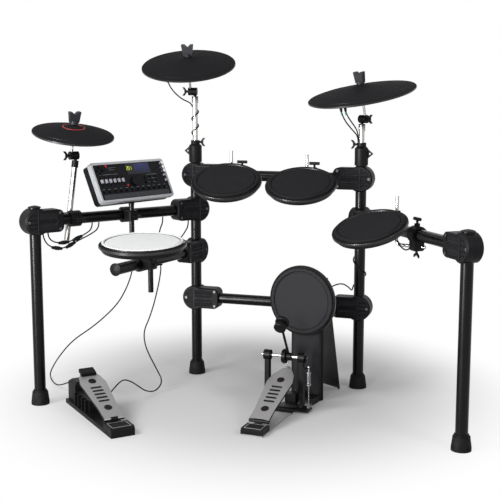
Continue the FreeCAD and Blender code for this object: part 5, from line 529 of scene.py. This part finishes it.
def add_skin(made, rings, capped=True):
    """Adds the faces between each ring of corners and the next, and a cap at both ends."""
    for low, high in zip(rings, rings[1:]):
        for index in range(len(low)):
            made.faces.new((low[index - 1], low[index], high[index], high[index - 1]))
    if capped:
        made.faces.new(rings[0])
        made.faces.new(rings[-1])


def add_turned(made, profile, place, segments):
    """Adds a turned body to a mesh: radius and height pairs about the Z axis of place."""
    rings = []
    for radius, height in profile:
        ring = []
        for index in range(segments):
            turn = math.tau * index / segments
            corner = Vector((radius * math.cos(turn), radius * math.sin(turn), height))
            ring.append(made.verts.new(place @ corner))
        rings.append(ring)
    add_skin(made, rings)


def add_plate(made, place, size, spot, radius, span, bevel, steps=6):
    """Adds a plate with round corners and a bevelled upper edge at a spot of place."""
    outline = []
    for side, level, quarter in ((1, 1, 0), (-1, 1, 1), (-1, -1, 2), (1, -1, 3)):
        for index in range(steps + 1):
            turn = math.pi / 2 * (quarter + index / steps)
            outline.append(Vector((
                side * (size[0] / 2 - radius) + radius * math.cos(turn) + spot[0],
                level * (size[1] / 2 - radius) + radius * math.sin(turn) + spot[1])))
    middle = sum(outline, Vector((0, 0))) / len(outline)
    inner = [point + (middle - point).normalized() * bevel for point in outline]
    low, high = span
    rings = []
    for points, height in ((outline, low), (outline, high - bevel), (inner, high)):
        rings.append([made.verts.new(place @ Vector((*point, height))) for point in points])
    add_skin(made, rings)


def add_ridge(made, line, half, low, high, place):
    """Adds a ridge with sloping sides along a line in x and y of place."""
    profile = ((-1, low), (-RIDGE_CREST, high), (RIDGE_CREST, high), (1, low))
    rings = []
    for index, point in enumerate(line):
        before = Vector(line[max(index - 1, 0)])
        after = Vector(line[min(index + 1, len(line) - 1)])
        side = (after - before).normalized().orthogonal() * half
        rings.append([made.verts.new(place @ Vector((*(Vector(point) + side * share), height)))
                      for share, height in profile])
    add_skin(made, rings)


def stood(origin, across, out):
    """Matrix of a frame with X across and Z out, scaled from millimetres."""
    z = out.normalized()
    x = (across - z * across.dot(z)).normalized()
    y = z.cross(x)
    turn = Matrix((x, y, z)).transposed().to_4x4()
    return Matrix.Translation(origin) @ turn @ Matrix.Scale(MM, 4)


def board_place(joint, rise):
    """Frame of a footboard at its hinge: Y up the board, Z out of its top."""
    across = -Vector(joints[joint]["axis"])
    ahead = UP.cross(across).normalized()
    along = ahead * math.cos(math.radians(rise)) + UP * math.sin(math.radians(rise))
    return stood(Vector(joints[joint]["pos_m"]), across, across.cross(along))


def panel_place():
    """Frame of the module's panel: X right, Y up the panel, Z out of it."""
    right = Vector(joints["module_tilt"]["axis"])
    out = Vector(joints["module_dial_turn"]["axis"])
    up_panel = out.cross(right)
    middle = Vector(joints["module_tilt"]["pos_m"]) - up_panel * (PANEL_BELOW * MM)
    middle += out * (PANEL_BEHIND * MM) - right * (PANEL_LEFT * MM)
    return stood(middle, right, out)


def disc(node):
    """Corners of a round node, and the axis that points up out of it."""
    points = np.array([corner.co for corner in frame["nodes"][node].data.vertices])
    out = np.linalg.svd(points - points.mean(0), full_matrices=False)[2][2]
    return points, out if out[2] > 0 else -out


def from_axis(point, joint):
    """Distance of a point from a joint's axis, in millimetres."""
    offset = point - Vector(joints[joint]["pos_m"])
    return offset.cross(Vector(joints[joint]["axis"])).length / MM


# Cables

def rack_point(point):
    """Point of the rack's frame in the scene, in metres."""
    return RACK_ORIGIN + Vector(point) * MM


def winding(post, radius, foot, pitch, turns):
    """Points of a cable wound round an upright tube, from its left side towards the back."""
    # The curve runs inside its points, so they stand further out than the cable does.
    wide = radius / (0.75 + 0.25 * math.cos(math.tau / WINDING_POINTS))
    points = []
    for index in range(int(turns * WINDING_POINTS) + 1):
        turn = math.tau * index / WINDING_POINTS
        points.append(Vector((post[0] - wide * math.cos(turn), post[1] + wide * math.sin(turn),
                              foot + pitch * index / WINDING_POINTS)))
    return points


def make_cable(name, points, node, body, to_body=None, start=-1, end=0):
    """Cable along a route.

    Between two bodies it is baked into a still mesh that rides on neither body.
    """
    thick = bpy.context.scene.drum_sizes.cable
    curve = bpy.data.curves.new(name, "CURVE")
    curve.dimensions = "3D"
    curve.bevel_resolution = 4
    curve.resolution_u = 10
    curve.use_fill_caps = True
    curve.materials.append(finishes()["pvc_jacket"])
    spline = curve.splines.new("NURBS")
    spline.points.add(len(points) - 1)
    for control, point in zip(spline.points, points):
        control.co = (*rack_point(point), 1)
    spline.order_u = 3
    spline.use_endpoint_u = True
    piece = bpy.data.objects.new(name, curve)
    path = None
    if to_body:
        path = [tuple(spot.co) for spot in bpy.data.meshes.new_from_object(piece).vertices]
    curve.bevel_depth = thick / 2
    if to_body:
        tube = bpy.data.meshes.new_from_object(piece)
        bpy.data.objects.remove(piece)
        piece = bpy.data.objects.new(name, tube)
    bpy.context.scene.collection.objects.link(piece)
    if to_body:
        tuple(rack_point(points[start]))
        tuple(rack_point(points[end]))
        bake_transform(piece)
    else:
        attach(piece, body)
    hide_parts(node)
    tuple(rack_point(points[0]))


def make_plug(name, tip, after, body, sleeve):
    """Ribbed rubber sleeve of a plug at a jack, tapered along the cable, and its coloured mark."""
    start = rack_point(tip)
    way = (rack_point(after) - start).normalized()
    place = stood(start, way.orthogonal(), way)
    reach = bpy.context.scene.drum_sizes.plug / MM
    profile = list(PLUG_COLLAR)
    for index in range(PLUG_RIBS):
        low = reach * (RIB_START + RIB_SHARE * index / PLUG_RIBS)
        radius = RIB_RADIUS - RIB_TAPER * index / PLUG_RIBS
        profile += [(radius + step, low + rise) for step, rise in RIB_PROFILE]
    profile += [(radius, reach) for radius in PLUG_END]
    made = bmesh.new()
    add_turned(made, profile, place, CABLE_SEGMENTS)
    new_piece(name, made, body, "moulded_rubber")
    if sleeve:
        made = bmesh.new()
        add_turned(made, [(radius, reach + MARK_GAP + rise) for radius, rise in MARK_PROFILE],
                   place, CABLE_SEGMENTS)
        new_piece(name + "_mark", made, body, sleeve, smooth=True)


def make_coupler(name, before, after, body):
    """Rubber coupler of two cable ends, round the middle of a run of the route."""
    middle = rack_point((Vector(before) + Vector(after)) / 2)
    way = rack_point(after) - rack_point(before)
    made = bmesh.new()
    add_turned(made, [(radius, height - COUPLER_HALF) for radius, height in COUPLER_PROFILE],
               stood(middle, way.orthogonal(), way), CABLE_SEGMENTS)
    new_piece(name, made, body, "moulded_rubber")


class DRUM_OT_cables(bpy.types.Operator):
    """Cables of the pads, cymbals and pedals, with their plugs"""
    bl_idname = "drumkit.cables"
    bl_label = "Cables"

    def execute(self, context):
        turns = winding(**CRASH_WINDING)
        tail = turns[-1] + Vector(TAIL_WAY) * TAIL_LENGTH
        make_cable("crash_cable", CRASH_ROUTE[:-1] + (*turns, tail), "crash_lead",
                   "crash_boom", "crash_tilter", len(CRASH_ROUTE) - 1, 0)
        for name, route, real in (("ride_cable_1", RIDE_ROUTE, 159),
                                  ("ride_cable_2", RIDE_SECOND_ROUTE, 163)):
            make_cable(name, route, "ride_leads", "ride_boom", "ride_tilter")
        make_cable("kick_cable", KICK_ROUTE[:-1] + (*winding(**KICK_WINDING),), "cable_leads",
                   "rack")
        make_cable("snare_cable", SNARE_ROUTE, "cable_leads", "rack", "snare_post",
                   4, -1)
        make_cable("tom_cable", TOM_ROUTE, "cable_leads", "rack", "tom3_rod")
        for name, route, real, lay in (
                ("hihat_cable", HIHAT_ROUTE, 1049, "loose"),
                ("cue_cable", CUE_ROUTE, 944, "loose"),
                ("loom_cable_1", LOOM_ROUTE, 275, "hanging"),
                ("loom_cable_2", LOOM_SECOND_ROUTE, 217, "hanging"),
                ("arch_cable", ARCH_ROUTE, 127, "hanging")):
            make_cable(name, route, "cable_leads", "rack")
        for name, route, body, sleeve in (
                ("crash_plug", CRASH_ROUTE, "crash_pad", "red_sleeve"),
                ("ride_plug_1", RIDE_ROUTE, "ride_pad", "teal_sleeve"),
                ("ride_plug_2", RIDE_SECOND_ROUTE, "ride_pad", "teal_sleeve"),
                ("tom_plug", TOM_ROUTE, "tom3_pad", None),
                ("snare_plug", SNARE_ROUTE[::-1], "snare_pad", None),
                ("kick_plug", KICK_ROUTE, "rack", None),
                ("hihat_plug", HIHAT_ROUTE[::-1], "rack", None),
                ("cue_plug", CUE_ROUTE[::-1], "rack", "blue_sleeve")):
            make_plug(name, route[0], route[1], body, sleeve)
        for index, (route, run) in enumerate(COUPLED_RUNS):
            make_coupler("loom_coupler_%d" % (index + 1), route[run], route[run + 1], "rack")
        return {"FINISHED"}


# Stage

def seen_rays(tree):
    """One for camera, glossy and transmission rays, which see white, and nought for others."""
    rays = add_node(tree, "ShaderNodeLightPath").outputs
    seen = rays["Is Camera Ray"]
    for kind in ("Is Glossy Ray", "Is Transmission Ray"):
        seen = add_node(tree, "ShaderNodeMath", {0: seen, 1: rays[kind]},
                        operation="MAXIMUM").outputs[0]
    return seen


class DRUM_OT_stage(bpy.types.Operator):
    """Pale floor, soft lamps and the camera"""
    bl_idname = "drumkit.stage"
    bl_label = "Stage"

    def execute(self, context):
        stage = context.scene.drum_stage
        context.scene.view_settings.view_transform = "Standard"
        self.make_camera(context)
        self.make_floor(context, stage.floor)
        self.make_sky(context, stage.sky)
        for name, place, size in LAMPS:
            self.make_lamp(context, name, place, size, getattr(stage, name))
        return {"FINISHED"}

    def make_camera(self, context):
        lens = bpy.data.cameras.new("camera")
        lens.lens = CAMERA_LENS
        lens.sensor_width = SENSOR
        camera = bpy.data.objects.new("camera", lens)
        context.scene.collection.objects.link(camera)
        drop = math.radians(CAMERA_PITCH)
        look = Vector(CAMERA_HEADING) * math.cos(drop) - UP * math.sin(drop)
        camera.location = rack_point(CAMERA_PLACE)
        camera.rotation_euler = look.to_track_quat("-Z", "Y").to_euler()
        context.scene.camera = camera

    def make_floor(self, context, radius):
        made = bmesh.new()
        bmesh.ops.create_circle(made, cap_ends=True, segments=FLOOR_SEGMENTS, radius=radius)
        floor = bpy.data.objects.new("floor", from_bmesh("floor", made, False))
        context.scene.collection.objects.link(floor)
        floor.location.z = -FLOOR_DROP
        material = bpy.data.materials.new("painted_floor")
        tree = emptied(material)
        place = add_node(tree, "ShaderNodeTexCoord").outputs["Object"]
        oval = add_node(tree, "ShaderNodeMapping", {
            "Vector": place, "Location": FLOOR_MIDDLE, "Rotation": FLOOR_TURN,
            "Scale": FLOOR_SPREAD}, vector_type="TEXTURE")
        away = add_node(tree, "ShaderNodeVectorMath", {0: oval.outputs["Vector"]},
                        operation="LENGTH")
        fade = add_node(tree, "ShaderNodeMapRange", {
            "Value": away.outputs["Value"], "From Min": FLOOR_FADE[0], "From Max": FLOOR_FADE[1],
            "To Min": 0.0, "To Max": 1.0}, interpolation_type="SMOOTHSTEP")
        share = add_node(tree, "ShaderNodeMath", {0: seen_rays(tree), 1: fade.outputs["Result"]},
                         operation="MULTIPLY")
        paint = add_node(tree, "ShaderNodeBsdfDiffuse", {"Color": (*linear("#dcdbdc"), 1)})
        glow = add_node(tree, "ShaderNodeEmission", {"Color": WHITE, "Strength": 1.0})
        mixed = add_node(tree, "ShaderNodeMixShader", {
            0: share.outputs[0], 1: paint.outputs[0], 2: glow.outputs[0]})
        add_node(tree, "ShaderNodeOutputMaterial", {"Surface": mixed.outputs[0]})
        floor.data.materials.append(material)

    def make_sky(self, context, strength):
        sky = context.scene.world or bpy.data.worlds.new("sky")
        context.scene.world = sky
        tree = emptied(sky)
        even = add_node(tree, "ShaderNodeBackground", {"Color": WHITE, "Strength": strength})
        white = add_node(tree, "ShaderNodeBackground", {"Color": WHITE, "Strength": 1.0})
        mixed = add_node(tree, "ShaderNodeMixShader", {
            0: seen_rays(tree), 1: even.outputs[0], 2: white.outputs[0]})
        add_node(tree, "ShaderNodeOutputWorld", {"Surface": mixed.outputs[0]})

    def make_lamp(self, context, name, place, size, watts):
        lamp = bpy.data.lights.new(name + "_lamp", "AREA")
        lamp.shape = "RECTANGLE"
        lamp.size, lamp.size_y = size
        lamp.energy = watts
        stand = bpy.data.objects.new(name + "_lamp", lamp)
        context.scene.collection.objects.link(stand)
        stand.location = place
        stand.rotation_euler = (LAMP_TARGET - stand.location).to_track_quat("-Z", "Y").to_euler()
        # The tall strip only draws highlights down the tubes and round the rims.
        stand.visible_diffuse = name != "strip"
        stand.visible_camera = False


class DRUM_OT_rack(bpy.types.Operator):
    """Tubes, clamps, feet and rods of the rack"""
    bl_idname = "drumkit.rack"
    bl_label = "Rack"

    def execute(self, context):
        posts = [rack_point((*place, 0))
                 for place in (LEFT_POST, RIGHT_POST, LEFT_LEG, RIGHT_LEG)]

        def shell_rule(middle, normal):
            """Sunk panels of the clamps: faces at their own distance from the post's axis."""
            post = min(posts, key=lambda spot: (spot - middle).xy.length)
            return int(abs((middle - post).dot(normal) / MM - PANEL_DEPTH) < PANEL_SLACK)

        dress("clamp_screws", "phosphated_steel")
        dress("rubber_feet", "moulded_rubber")
        dress("clamp_shells", "moulded_abs", "eroded_abs", rule=shell_rule)
        for node in ("tube_fittings", "rod_clamps", "clamp_knobs"):
            dress(node, "moulded_abs")
        for node in ("rack_tubes", "snare_rod", "module_bracket"):
            dress(node, "enamelled_steel")
        self.make_ridges()
        return {"FINISHED"}

    def make_ridges(self):
        """Raised half rings, tongues and fine ribs on both faces of every clamp."""
        arc = [math.pi * (0.5 + index / ARC_STEPS) for index in range(ARC_STEPS + 1)]
        half_ring = [(RING_RIDGE * math.cos(turn), RING_RIDGE * math.sin(turn)) for turn in arc]
        tip = [(TONGUE_END - TONGUE_HALF * math.cos(turn), -TONGUE_HALF * math.sin(turn))
               for turn in arc]
        tongue = [(TONGUE_FOOT, tip[0][1]), *tip, (TONGUE_FOOT, tip[-1][1])]
        made = bmesh.new()
        for post, end, height in CLAMPS:
            across = Vector((end[0] - post[0], end[1] - post[1], 0)).normalized()
            for side in (-1, 1):
                place = stood(rack_point((*post, height)), across, UP.cross(across) * side)
                for line in (half_ring, [half_ring[0], half_ring[-1]]):
                    add_ridge(made, line, RIDGE_HALF, CLAMP_FACE - RIDGE_SINK,
                              CLAMP_FACE + RING_RISE, place)
                add_ridge(made, tongue, RIDGE_HALF, PANEL_DEPTH - RIDGE_SINK,
                          CLAMP_FACE + TONGUE_RISE, place)
                for level in FINE_RIBS:
                    start = -math.sqrt(HALF_ROUND ** 2 - level ** 2)
                    if abs(level) < BOLT_HALF:
                        start = max(start, BOLT_EDGE)
                    add_ridge(made, [(start, level), (FINE_FOOT, level)], FINE_HALF,
                              PANEL_DEPTH - RIDGE_SINK, CLAMP_FACE - FINE_DROP, place)
        # The ridges take the paler ABS: a painted highlight on the clamps' faces.
        new_piece("clamp_ridges", made, "rack", "rubbed_abs")


class DRUM_OT_cymbals(bpy.types.Operator):
    """Cymbal pads, their booms, tilters and nuts"""
    bl_idname = "drumkit.cymbals"
    bl_label = "Cymbals"

    def execute(self, context):
        for name in ("hihat", "crash", "ride"):
            self.dress_stand(name)
        self.make_ring()
        return {"FINISHED"}

    def dress_stand(self, name):
        way = Vector(joints[name + "_height"]["axis"])
        pivot = Vector(joints[name + "_tilt"]["pos_m"])
        out = Vector(disc(name + "_cymbal")[1])

        def pad_rule(middle, normal):
            slope = normal.dot(out)
            return 0 if slope > 1 - SIDE_SLOPE else 1 if slope > -SIDE_SLOPE else 2

        dress(name + "_boom", "chrome_plate", "moulded_abs",
              rule=lambda middle, normal: int((middle - pivot).dot(way) > -SOCKET_REACH * MM))
        dress(name + "_rod", "chrome_plate", "moulded_abs",
              rule=lambda middle, normal: int((middle - pivot).length < TILTER_RADIUS * MM))
        # The cymbal tops take a darker copy of the playing rubber: painted shade.
        dress(name + "_cymbal", "cymbal_skin", "rim_rubber", "moulded_abs", rule=pad_rule)
        dress(name + "_nut", "soft_elastomer")

    def make_ring(self):
        """Thin red ring that lies on the hi-hat pad's bell."""
        mesh = frame["nodes"]["hihat_cymbal"].data
        skin = BVHTree.FromPolygons([corner.co for corner in mesh.vertices],
                                    [face.vertices for face in mesh.polygons])
        out = Vector(disc("hihat_cymbal")[1])
        place = stood(Vector(joints["hihat_swing"]["pos_m"]), Vector((1, 0, 0)), out)
        made = bmesh.new()
        rings = []
        for index in range(RING_STEPS):
            turn = math.tau * index / RING_STEPS
            way = Vector((math.cos(turn), math.sin(turn), 0))
            ring = []
            for wide, tall in RING_PROFILE:
                above = place @ (way * (RING_RADIUS + wide) + UP * RING_RADIUS)
                ring.append(made.verts.new(skin.ray_cast(above, -out)[0] + out * (tall * MM)))
            rings.append(ring)
        add_skin(made, rings + rings[:1], capped=False)
        new_piece("hihat_ring", made, "hihat_pad", "red_sleeve", smooth=True)


def dress_head(name, finish, share):
    """Playing surface inside a share of the head's radius, a flange outside it, polished side."""
    points, out = disc(name + "_head")
    middle = (points.max(0) + points.min(0)) / 2
    flat = points - middle - np.outer((points - middle) @ out, out)
    edge = np.linalg.norm(flat, axis=1).max()
    middle, out = Vector(middle), Vector(out)

    def rule(spot, normal):
        if abs(normal.dot(out)) < SIDE_SLOPE:
            return 2
        offset = spot - middle
        return int((offset - out * offset.dot(out)).length > edge * share)

    dress(name + "_head", finish, "flange_rubber", "rim_rubber", rule=rule)


class DRUM_OT_pads(bpy.types.Operator):
    """Tom and snare pads with their rods and mounts"""
    bl_idname = "drumkit.pads"
    bl_label = "Pads"

    def execute(self, context):
        toms = ("tom1", "tom2", "tom3")
        for name in toms:
            dress(name + "_rod", "chrome_plate")
            dress_head(name, "playing_rubber", PAD_RING_SHARE)
        dress_head("snare", "white_rubber", SNARE_RING_SHARE)
        for name in (*toms, "snare"):
            dress(name + "_mount", "moulded_abs")
            dress(name + "_shell", "moulded_abs")
        return {"FINISHED"}


class DRUM_OT_kick(bpy.types.Operator):
    """Kick tower with its pad"""
    bl_idname = "drumkit.kick"
    bl_label = "Kick tower"

    def execute(self, context):
        out = Vector(disc("kick_head")[1])
        out = out if out.y < 0 else -out
        # The tower's front faces take a paler copy of the coat: painted light.
        dress("kick_tower", "powder_coat", "rubbed_coat",
              rule=lambda middle, normal: int(normal.dot(out) > FRONT_SLOPE))
        dress("kick_shell", "moulded_abs")
        dress_head("kick", "sheeted_neoprene", PAD_RING_SHARE)
        return {"FINISHED"}


def make_grips(name, joint, rise, board, body):
    """Rubber grip bars and discs let into a footboard."""
    place = board_place(joint, rise)
    proud = bpy.context.scene.drum_sizes.grip / MM
    made = bmesh.new()
    for share in GRIP_BAR_SHARES:
        add_plate(made, place, GRIP_BAR, (0, board * share),
                  span=(BOARD_TOP - GRIP_SINK, BOARD_TOP + proud), **GRIP_TILE)
    top, bevel = GRIP_SINK + proud, GRIP_TILE["bevel"]
    # The last pair is the edge of the small cap in the middle of the disc.
    profile = ((GRIP_DISC, 0), (GRIP_DISC, top - bevel), (GRIP_DISC - bevel, top), (bevel, top))
    for share in GRIP_DISC_SHARES:
        lift = Matrix.Translation((0, board * share, BOARD_TOP - GRIP_SINK))
        add_turned(made, profile, place @ lift, GRIP_DISC_SEGMENTS)
    new_piece(name, made, body, "moulded_rubber")


def make_heel(name, node, joint, body):
    """Silver line round the inlay of a heel rest, and the ribbed mat that lies in it."""
    mesh = frame["nodes"][node].data
    across = -Vector(joints[joint]["axis"])
    ahead = UP.cross(across).normalized()
    hinge = Vector(joints[joint]["pos_m"])
    flats = [face for face in mesh.polygons
             if face.normal.z > INLAY_SLOPE and face.center.z > INLAY_LOWEST * MM
             and (face.center - hinge).dot(ahead) < INLAY_START * MM]
    level = max(face.center.z for face in flats)
    inlay = [face for face in flats
             if INLAY_DEPTH[0] < (level - face.center.z) / MM < INLAY_DEPTH[1]]
    corners = [mesh.vertices[index].co - hinge for face in inlay for index in face.vertices]
    wide = [corner.dot(across) / MM for corner in corners]
    deep = [corner.dot(ahead) / MM for corner in corners]
    width, depth = max(wide) - min(wide), max(deep) - min(deep)
    middle = hinge + (across * (max(wide) + min(wide)) + ahead * (max(deep) + min(deep))) * (MM / 2)
    middle.z = level
    place = stood(middle, across, UP)
    made = bmesh.new()
    for side in (-1, 1):
        add_plate(made, place, (width + HEEL_EDGE * 2, HEEL_EDGE),
                  (0, side * (depth + HEEL_EDGE) / 2), **HEEL_EDGE_TILE)
        add_plate(made, place, (HEEL_EDGE, depth),
                  (side * (width + HEEL_EDGE) / 2, 0), **HEEL_EDGE_TILE)
    new_piece(name + "_edge", made, body, "painted_alloy")
    made = bmesh.new()
    pitch = (depth - MAT_MARGIN * 2) / HEEL_RIBS
    for index in range(HEEL_RIBS):
        add_plate(made, place, (width - MAT_MARGIN * 2, pitch - RIB_GAP),
                  (0, (index + 0.5) * pitch - depth / 2 + MAT_MARGIN), **HEEL_RIB_TILE)
    new_piece(name + "_mat", made, body, "moulded_rubber")


class DRUM_OT_kick_pedal(bpy.types.Operator):
    """Kick pedal with its footboard, axle, beater, chain and spring"""
    bl_idname = "drumkit.kick_pedal"
    bl_label = "Kick pedal"

    def execute(self, context):
        hinge = Vector(joints["kick_board_press"]["pos_m"])
        axle = Vector(joints["kick_axle_turn"]["pos_m"])
        ahead = ((axle - hinge) * Vector((1, 1, 0))).normalized()
        out = board_place("kick_board_press", KICK_BOARD_RISE).to_3x3().col[2].normalized()

        def in_barrel(middle):
            return from_axis(middle, "kick_board_press") < HINGE_BARREL

        def board_rule(middle, normal):
            return int(normal.dot(out) < BOARD_SLOPE or in_barrel(middle))

        def base_rule(middle, normal):
            """Silver plate, black frame and heel rest, rubber on top of the heel rest."""
            along = (middle - hinge).dot(ahead) / MM
            if in_barrel(middle):
                return 1
            if along < HEEL_START and middle.z > KICK_PLATE_TOP * MM:
                return 2 if normal.z > LEVEL_SLOPE else 1
            return 0 if along < FRAME_START else 1

        def beater_rule(middle, normal):
            if (middle - axle).length < BEATER_SHAFT * MM:
                return 0
            return 2 if normal.dot(ahead) > FELT_SLOPE and (middle - axle).dot(ahead) > 0 else 1

        dress("kick_pedal_base", "painted_alloy", "powder_coat", "moulded_rubber", rule=base_rule)
        dress("kick_pedal_frame", "powder_coat")
        dress("kick_pedal_axle", "chrome_plate", "powder_coat",
              rule=lambda middle, normal: int(from_axis(middle, "kick_axle_turn") > AXLE_ROD))
        dress("kick_footboard", "painted_alloy", "powder_coat", rule=board_rule)
        dress("kick_beater", "powder_coat", "moulded_abs", "wool_felt", rule=beater_rule)
        dress("kick_chain", "zinc_plate")
        dress("kick_spring", "zinc_plate")
        make_grips("kick_grips", "kick_board_press", KICK_BOARD_RISE, KICK_BOARD_LENGTH,
                   "kick_board")
        make_heel("kick_heel", "kick_pedal_base", "kick_board_press", "rack")
        return {"FINISHED"}


class DRUM_OT_hat_pedal(bpy.types.Operator):
    """Hi-hat control pedal"""
    bl_idname = "drumkit.hat_pedal"
    bl_label = "Hi-hat pedal"

    def execute(self, context):
        board = board_place("hat_board_press", HAT_BOARD_RISE)
        out = board.to_3x3().col[2].normalized()
        back = board.inverted()
        hinge = Vector(joints["hat_board_press"]["pos_m"])
        ahead = UP.cross(-Vector(joints["hat_board_press"]["axis"]))

        def board_rule(middle, normal):
            return int((back @ middle).z > BOARD_TOP + BOARD_SLACK or normal.dot(out) < BOARD_SLOPE)

        def base_rule(middle, normal):
            behind = (middle - hinge).dot(ahead) < HEEL_START * MM
            return int(behind and middle.z > HAT_PLATE_TOP * MM and normal.z > LEVEL_SLOPE)

        dress("hat_footboard", "painted_alloy", "powder_coat", rule=board_rule)
        dress("hat_pedal_base", "moulded_abs", "moulded_rubber", rule=base_rule)
        make_grips("hat_grips", "hat_board_press", HAT_BOARD_RISE, HAT_BOARD_LENGTH, "hat_board")
        make_heel("hat_heel", "hat_pedal_base", "hat_board_press", "rack")
        return {"FINISHED"}


class DRUM_OT_module(bpy.types.Operator):
    """Sound module with its controls and displays"""
    bl_idname = "drumkit.module"
    bl_label = "Sound module"

    def execute(self, context):
        place = panel_place()
        back = place.inverted()
        dress("module_housing", "panel_paint")
        dress("module_bezel", "silver_paint")
        dress("module_screen", "window_acrylic")
        dress("module_faders", "pale_abs")
        dress("module_dial", "panel_paint")
        dress("module_buttons", "panel_paint", "pale_abs",
              rule=lambda middle, normal: int((back @ middle).x > SIDE_KEYS))
        for index in range(KNOBS):
            dress("module_knob_%d" % (index + 1), "turned_aluminium")
        self.make_displays(place)
        self.make_marks(place)
        return {"FINISHED"}

    def make_displays(self, place):
        made = bmesh.new()
        add_plate(made, place, SCREEN_SIZE, SCREEN_SPOT, **SCREEN_TILE)
        new_piece("module_lcd", made, "module", "screen_glow")
        made = bmesh.new()
        width, height, bar = LED_DIGIT
        flat, upright = (width, bar), (bar, height / 2)
        bars = ((0, height, flat), (width, height * 0.75, upright), (width, height / 4, upright),
                (0, 0, flat), (-width, height / 4, upright), (-width, height * 0.75, upright),
                (0, height / 2, flat))
        for index, lamps in enumerate(LED_DIGITS):
            for (x, y, (wide, tall)), state in zip(bars, lamps):
                if state == "1":
                    spot = (LED_START[0] + index * LED_PITCH + x / 2, LED_START[1] + y)
                    add_plate(made, place, (wide, tall - LED_GAP), spot, **DIGIT_TILE)
        new_piece("module_digits", made, "module", "digit_glow")
        made = bmesh.new()
        for spot in PANEL_LAMP_SPOTS:
            add_plate(made, place, PANEL_LAMP_SIZE, spot, **LAMP_TILE)
        new_piece("module_lamps", made, "module", "lamp_glow")

    def make_marks(self, place):
        made = bmesh.new()
        add_plate(made, place, STRIP_SIZE, STRIP_SPOT, **STRIP_TILE)
        new_piece("module_strip", made, "module", "brushed_strip")
        made = bmesh.new()
        for index in range(KEY_MARKS):
            spot = (KEY_MARK_START[0] + KEY_MARK_PITCH * index, KEY_MARK_START[1])
            add_plate(made, place, KEY_MARK_SIZE, spot, **KEY_MARK_TILE)
        for x, y, wide in LINES:
            add_plate(made, place, (wide, LINE_WIDTH), (x, y), **LINE_TILE)
        new_piece("module_marks", made, "module", "pale_ink")


class DRUM_PT_kit(bpy.types.Panel):
    bl_idname = "DRUM_PT_kit"
    bl_label = "Drum kit"
    bl_space_type = "VIEW_3D"
    bl_region_type = "UI"
    bl_category = "Drum kit"

    def draw(self, context):
        scene = context.scene
        for group in (scene.drum_colours, scene.drum_sizes, scene.drum_stage):
            for name in group.__annotations__:
                self.layout.prop(group, name)
        for maker in MAKERS:
            self.layout.operator(maker.bl_idname)


MAKERS = (DRUM_OT_stage, DRUM_OT_cables, DRUM_OT_rack, DRUM_OT_cymbals, DRUM_OT_pads, DRUM_OT_kick,
          DRUM_OT_kick_pedal, DRUM_OT_hat_pedal, DRUM_OT_module)
CLASSES = (KitColours, KitSizes, KitStage) + MAKERS + (DRUM_PT_kit,)


def register():
    for item in CLASSES:
        bpy.utils.register_class(item)
    bpy.types.Scene.drum_colours = PointerProperty(type=KitColours)
    bpy.types.Scene.drum_sizes = PointerProperty(type=KitSizes)
    bpy.types.Scene.drum_stage = PointerProperty(type=KitStage)


def unregister():
    del bpy.types.Scene.drum_stage
    del bpy.types.Scene.drum_sizes
    del bpy.types.Scene.drum_colours
    for item in reversed(CLASSES):
        bpy.utils.unregister_class(item)


def main():
    register()
    for maker in MAKERS:
        group, name = maker.bl_idname.split(".")
        getattr(getattr(bpy.ops, group), name)()


if __name__ == "__main__":
    main()
